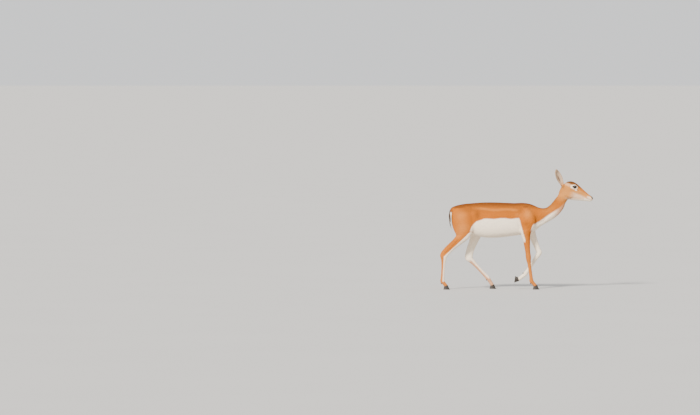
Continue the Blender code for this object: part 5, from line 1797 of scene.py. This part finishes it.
def tail_locks(form, chance, size):
    """The long hair of the tail: locks from both sides and the back of the dock down to its end."""
    end_x, end_z = TAIL_END
    line = [(end_z - 0.02, end_x + 0.004), (end_z, end_x)] + [(z, x) for x, z, _, _ in DOCK][::-1]
    for k in range(size.tail_locks):
        share = (k + 0.5) / size.tail_locks
        side = 1 if k % 2 else -1
        root_z = LOCK_TOP - LOCK_RUN * share
        length = size.tail_lock_length * chance.uniform(0.75, 1.12)
        tip_z = max(root_z - length, end_z + 0.016 * chance.random())
        root_y = side * DOCK_HALF * (1 - 0.5 * share) * chance.uniform(0.1, 1.0)
        tip_y = side * TAIL_FAN * chance.uniform(0.0, 1.0) + root_y * 0.3
        behind = 0.0018 + 0.005 * chance.random()
        points = []
        for t in np.linspace(0, 1, len(LOCK_TAPER)):
            z = root_z + (tip_z - root_z) * t
            x = level_of(line, z) - behind * math.sin(math.pi * min(t * 1.2 + 0.06, 1)) - 0.0016
            points.append(Vector((x, root_y + (tip_y - root_y) * t**1.3 + 0.001 * math.sin(t * 6 + k), z)))
        width = size.tail_lock_width * chance.uniform(0.6, 1.15)
        thick = [LOCK_THICKNESS * max(s, 0.2) for s in LOCK_TAPER]
        lean = Vector((-1, side * 0.8 * chance.random(), 0))
        hair_strand(form, points, [width * s for s in LOCK_TAPER], thick, lean)


def tail_finish(look):
    """Dark brown hair, darkest along the middle, with a pale fringe at its sides."""
    made = Finish("tail_hair", Roughness=0.72, Sheen_Weight=0.1, Specular_IOR_Level=0.3)
    across, _, _ = made.marks("tail_place")
    streak = made.noise(made.stretched(made.place(), (900.0, 900.0, 36.0)), 1.0, 2.0, 0.6)
    pale = made.edge(across * across + (streak - 0.5) * 0.5, 0.62, 0.95)
    made.bump(streak, 0.5, 0.0006)
    brown = made.mix(streak, look.tail, look.tail_brown)
    return made.paint(Base_Color=made.mix(pale, brown, look.tail_fringe))


def colour_choice(name, value, description):
    """A colour that a user may change."""
    return FloatVectorProperty(
        name=name, description=description, default=value, size=3, min=0.0, max=1.0, subtype="COLOR"
    )


def add_piece(name, mesh, finish, nodes=()):
    """A whole piece with its material, placed on the solids."""
    item = new_object(name, mesh)
    item.data.materials.append(finish)
    placed(item, nodes)


def length_choice(name, value, description):
    """A length that a user may change."""
    return FloatProperty(name=name, description=description, default=value, unit="LENGTH")


def amount_choice(name, value, description):
    """An amount that a user may change."""
    return FloatProperty(name=name, description=description, default=value, min=0.0)


class DoeCoat(bpy.types.PropertyGroup):
    """Colours and sizes of the coat."""

    back: colour_choice("Back", (0.235, 0.068, 0.01), "Brown of the upper back and rump")
    ridge: colour_choice("Ridge", (0.165, 0.046, 0.008), "Darkest brown along the spine")
    flank: colour_choice("Flank", (0.5, 0.138, 0.01), "Tan of the flanks, shoulders and haunches")
    flank_deep: colour_choice("Deep flank", (0.415, 0.107, 0.008), "Deeper tan that varies the flank")
    # Lighter tan where the muscles stand out, partly painted highlight
    light: colour_choice("Light tan", (0.65, 0.252, 0.058), "Lighter tan where the muscles stand out")
    stripe: colour_choice("Stripe", (0.615, 0.215, 0.036), "Pale band between back and flank")
    nape: colour_choice("Nape", (0.32, 0.108, 0.016), "Brown of the back of the neck")
    leg: colour_choice("Leg", (0.535, 0.178, 0.03), "Pale tan of the lower legs and throat")
    white: colour_choice("White", (0.95, 0.81, 0.64), "White of the belly, chest and inner legs")
    cheek: colour_choice("Cheek", (0.57, 0.232, 0.055), "Beige of the cheeks")
    bridge: colour_choice("Bridge", (0.5, 0.15, 0.018), "Orange tan along the nose")
    crown: colour_choice("Crown", (0.09, 0.028, 0.006), "Dark brown of the forehead")
    ear: colour_choice("Ear", (0.39, 0.25, 0.14), "Greyish tan of the ears")
    ear_inside: colour_choice("Inside of the ear", (0.64, 0.5, 0.36), "Pale hair inside the ears")
    # Dark of the ears: painted shade in the cup's hollow, and the ears' own dark edge
    ear_dark_and_cup_shade: colour_choice("Dark of the ear", (0.085, 0.06, 0.045), "Dark hollow and edge of the ears")
    bare: colour_choice("Bare skin", (0.022, 0.014, 0.01), "Dark skin of nose, lips and lids")
    body_length: length_choice("Body hair", 0.0135, "Length of the tufts on the body")
    leg_length: length_choice("Leg hair", 0.007, "Length of the tufts on the legs")
    face_length: length_choice("Face hair", 0.0072, "Length of the tufts at the back of the face")
    ear_length: length_choice("Ear hair", 0.005, "Length of the tufts on the ears")
    tuft_width: length_choice("Tuft width", 0.0023, "Width of a tuft on the body")
    streak_scale: amount_choice("Streaks", 620.0, "Fineness of the hair's streaks")
    bump_strength: amount_choice("Relief", 0.55, "Strength of the hair's relief")


class DoeDetails(bpy.types.PropertyGroup):
    """Colours and sizes of eyes, hooves and tail."""

    iris: colour_choice("Iris", (0.01, 0.004, 0.002), "Brown of the iris")
    iris_pale: colour_choice("Pale iris", (0.022, 0.008, 0.003), "Lighter rays of the iris")
    pupil: colour_choice("Pupil", (0.003, 0.003, 0.004), "The pupil")
    rim: colour_choice("Rim", (0.012, 0.006, 0.004), "Dark rim round the iris")
    horn: colour_choice("Horn", (0.016, 0.013, 0.011), "Black of the hooves")
    horn_pale: colour_choice("Pale horn", (0.04, 0.032, 0.026), "Lighter growth rings of the hooves")
    dust: colour_choice("Dust", (0.15, 0.115, 0.085), "Dust in the scuffs of the hooves")
    tail: colour_choice("Tail", (0.02, 0.01, 0.006), "Dark brown of the tail's hair")
    tail_brown: colour_choice("Brown tail", (0.066, 0.026, 0.01), "Lighter brown of the tail's hair")
    tail_fringe: colour_choice("Tail fringe", (0.78, 0.62, 0.44), "White fringe of the tail")
    tail_locks: IntProperty(name="Tail locks", description="How many locks the tail has", default=76, min=8)
    tail_lock_length: length_choice("Lock length", 0.094, "Length of a lock of the tail")
    tail_lock_width: length_choice("Lock width", 0.0048, "Width of a lock of the tail")


class DoeStage(bpy.types.PropertyGroup):
    """Floor and light round the animal."""

    floor: colour_choice("Floor", (0.52, 0.51, 0.495), "Plain pale floor")
    sky: colour_choice("Surroundings", (0.98, 0.99, 1.0), "Plain light all round")
    sky_strength: amount_choice("Fill", 1.05, "Strength of the light all round")
    key_strength: amount_choice("Key", 7.1, "Strength of the main light")


class DoeBuilder:
    """What the operators share."""

    bl_options = {"REGISTER", "UNDO"}


class DOE_OT_skin(DoeBuilder, bpy.types.Operator):
    """Makes the skin of the whole body, with its folds, lids, lips and ears"""

    bl_idname = "doe.skin"
    bl_label = "Skin"

    def execute(self, context):
        mesh = make_skin_mesh()
        places, normals = vertex_places(mesh), vertex_normals(mesh)
        ways = hair_way(places, normals)
        set_marks(mesh, coat_marks(places, normals))
        set_marks(mesh, {"lie_place": lie_place(places, ways), "hair_way": ways})
        item = new_object("skin", mesh)
        mesh.shade_smooth()
        unwrap(item)
        mesh.materials.append(coat_finish("skin_coat", context.scene.doe_coat, False))
        placed(item, flesh_nodes())
        return {"FINISHED"}


class DOE_OT_coat(DoeBuilder, bpy.types.Operator):
    """Plants the tufts of hair over the skin, region by region"""

    bl_idname = "doe.coat"
    bl_label = "Coat"

    def execute(self, context):
        size = context.scene.doe_coat
        table = skin_table(bpy.data.objects["skin"])
        finish = coat_finish("tuft_coat", size, True)
        chance = np.random.default_rng(COAT_SEED)
        for piece, (count, slot) in COAT_PIECES.items():
            add_piece("coat_" + piece, tuft_mesh(table, piece, count, size, chance), finish)
        return {"FINISHED"}


class DOE_OT_eyes(DoeBuilder, bpy.types.Operator):
    """Makes both eyes"""

    bl_idname = "doe.eyes"
    bl_label = "Eyes"

    def execute(self, context):
        finish = eye_finish(context.scene.doe_details)
        for side, name in ((1, "left"), (-1, "right")):
            add_piece("eyeball_" + name, eye_surface(side), finish, ["eye_" + name])
        return {"FINISHED"}


class DOE_OT_lashes(DoeBuilder, bpy.types.Operator):
    """Makes the lashes and the whiskers"""

    bl_idname = "doe.lashes"
    bl_label = "Lashes and whiskers"

    def execute(self, context):
        finish = tail_finish(context.scene.doe_details)
        chance = np.random.default_rng(LASH_SEED)
        for name, adder in (("lashes", add_lashes), ("whiskers", add_whiskers)):
            form = bmesh.new()
            for side in (-1, 1):
                adder(form, side, chance)
            mesh = mesh_of(form, name)
            mesh.shade_smooth()
            set_marks(mesh, {"tail_place": np.zeros((len(mesh.vertices), 3))})
            add_piece(name, mesh, finish)
        return {"FINISHED"}


class DOE_OT_hooves(DoeBuilder, bpy.types.Operator):
    """Makes the eight claws of the hooves"""

    bl_idname = "doe.hooves"
    bl_label = "Hooves"

    def execute(self, context):
        finish = horn_finish("hoof_horn", context.scene.doe_details)
        for name in LEGS:
            for side in (-1, 1):
                form = bmesh.new()
                claw_form(form, name, side)
                mesh = mesh_of(form, "claw")
                mesh.shade_smooth()
                place = ("outer_" if side == leg_side(name) else "inner_") + name
                add_piece("claw_" + place, mesh, finish, ["hoof_" + place])
        return {"FINISHED"}


class DOE_OT_tail(DoeBuilder, bpy.types.Operator):
    """Makes the tail: its dock and the long hair on it"""

    bl_idname = "doe.tail"
    bl_label = "Tail"

    def execute(self, context):
        size = context.scene.doe_details
        form = bmesh.new()
        add_loft(form, dock_rings())
        tail_locks(form, np.random.default_rng(TAIL_SEED), size)
        mesh = mesh_of(form, "tail")
        mesh.shade_smooth()
        across = np.abs(vertex_places(mesh)[:, 1]) / TAIL_FAN
        set_marks(mesh, {"tail_place": np.tile(across[:, None], 3)})
        add_piece("tail_coat", mesh, tail_finish(size), ["tail"])
        return {"FINISHED"}


class DOE_OT_stage(DoeBuilder, bpy.types.Operator):
    """Makes the floor, the lights and the camera"""

    bl_idname = "doe.stage"
    bl_label = "Stage"

    def execute(self, context):
        look = context.scene.doe_stage
        form = bmesh.new()
        bmesh.ops.create_grid(form, x_segments=8, y_segments=8, size=FLOOR_REACH)
        floor = new_object("floor", mesh_of(form, "floor"))
        made = Finish("floor_pale", Roughness=0.9, Specular_IOR_Level=0.1)
        grain = made.noise(made.place(), 0.9, 3.0, 0.5)
        made.paint(Base_Color=made.shade(tuple(look.floor), 0.97 + 0.06 * grain))
        floor.data.materials.append(made.material)
        world = bpy.data.worlds.new("surroundings")
        world.use_nodes = True
        background = world.node_tree.nodes["Background"]
        background.inputs["Color"].default_value = (*look.sky, 1)
        background.inputs["Strength"].default_value = look.sky_strength
        context.scene.world = world
        key = bpy.data.lights.new("key", "SUN")
        key.energy = look.key_strength
        key.angle = KEY_WIDTH
        key.color = KEY_COLOUR
        turn = (-Vector(KEY_FROM)).to_track_quat("-Z", "Y").to_euler()
        self.hang(context, key, (0, 0, 0), turn)
        camera = bpy.data.cameras.new("camera")
        camera.sensor_width = CAMERA_SENSOR
        camera.lens = CAMERA_LENS
        camera.clip_end = CAMERA_REACH
        place = (CAMERA_ALONG + shift_to_frame()[0], -CAMERA_AWAY, CAMERA_HEIGHT)
        turn = (math.radians(90.0 - CAMERA_TILT), 0, 0)
        context.scene.camera = self.hang(context, camera, place, turn)
        return {"FINISHED"}

    def hang(self, context, data, place, turn):
        """A lamp or camera at its place."""
        item = bpy.data.objects.new(data.name, data)
        item.location = place
        item.rotation_euler = turn
        context.scene.collection.objects.link(item)
        return item


class DOE_PT_panel(bpy.types.Panel):
    """The pieces of the doe, in the order that they are made"""

    bl_idname = "DOE_PT_panel"
    bl_label = "Blackbuck doe"
    bl_space_type = "VIEW_3D"
    bl_region_type = "UI"
    bl_category = "Blackbuck"

    def draw(self, context):
        layout = self.layout
        for maker in MAKERS:
            layout.operator(maker.bl_idname)
        for group in (context.scene.doe_coat, context.scene.doe_details, context.scene.doe_stage):
            box = layout.box()
            for name in group.__annotations__:
                box.prop(group, name)


MAKERS = (DOE_OT_skin, DOE_OT_coat, DOE_OT_eyes, DOE_OT_lashes, DOE_OT_hooves, DOE_OT_tail, DOE_OT_stage)
GROUPS = {"doe_coat": DoeCoat, "doe_details": DoeDetails, "doe_stage": DoeStage}


def register():
    """Adds the classes and the scene's settings."""
    for group in GROUPS.values():
        bpy.utils.register_class(group)
    for name, group in GROUPS.items():
        setattr(bpy.types.Scene, name, PointerProperty(type=group))
    for maker in MAKERS:
        bpy.utils.register_class(maker)
    bpy.utils.register_class(DOE_PT_panel)


def unregister():
    """Takes the classes and settings away again."""
    bpy.utils.unregister_class(DOE_PT_panel)
    for maker in reversed(MAKERS):
        bpy.utils.unregister_class(maker)
    for name in GROUPS:
        delattr(bpy.types.Scene, name)
    for group in reversed(GROUPS.values()):
        bpy.utils.unregister_class(group)


def main():
    """Makes every piece."""
    register()
    bpy.ops.doe.skin()
    bpy.ops.doe.coat()
    bpy.ops.doe.eyes()
    bpy.ops.doe.lashes()
    bpy.ops.doe.hooves()
    bpy.ops.doe.tail()
    bpy.ops.doe.stage()


if __name__ == "__main__":
    main()
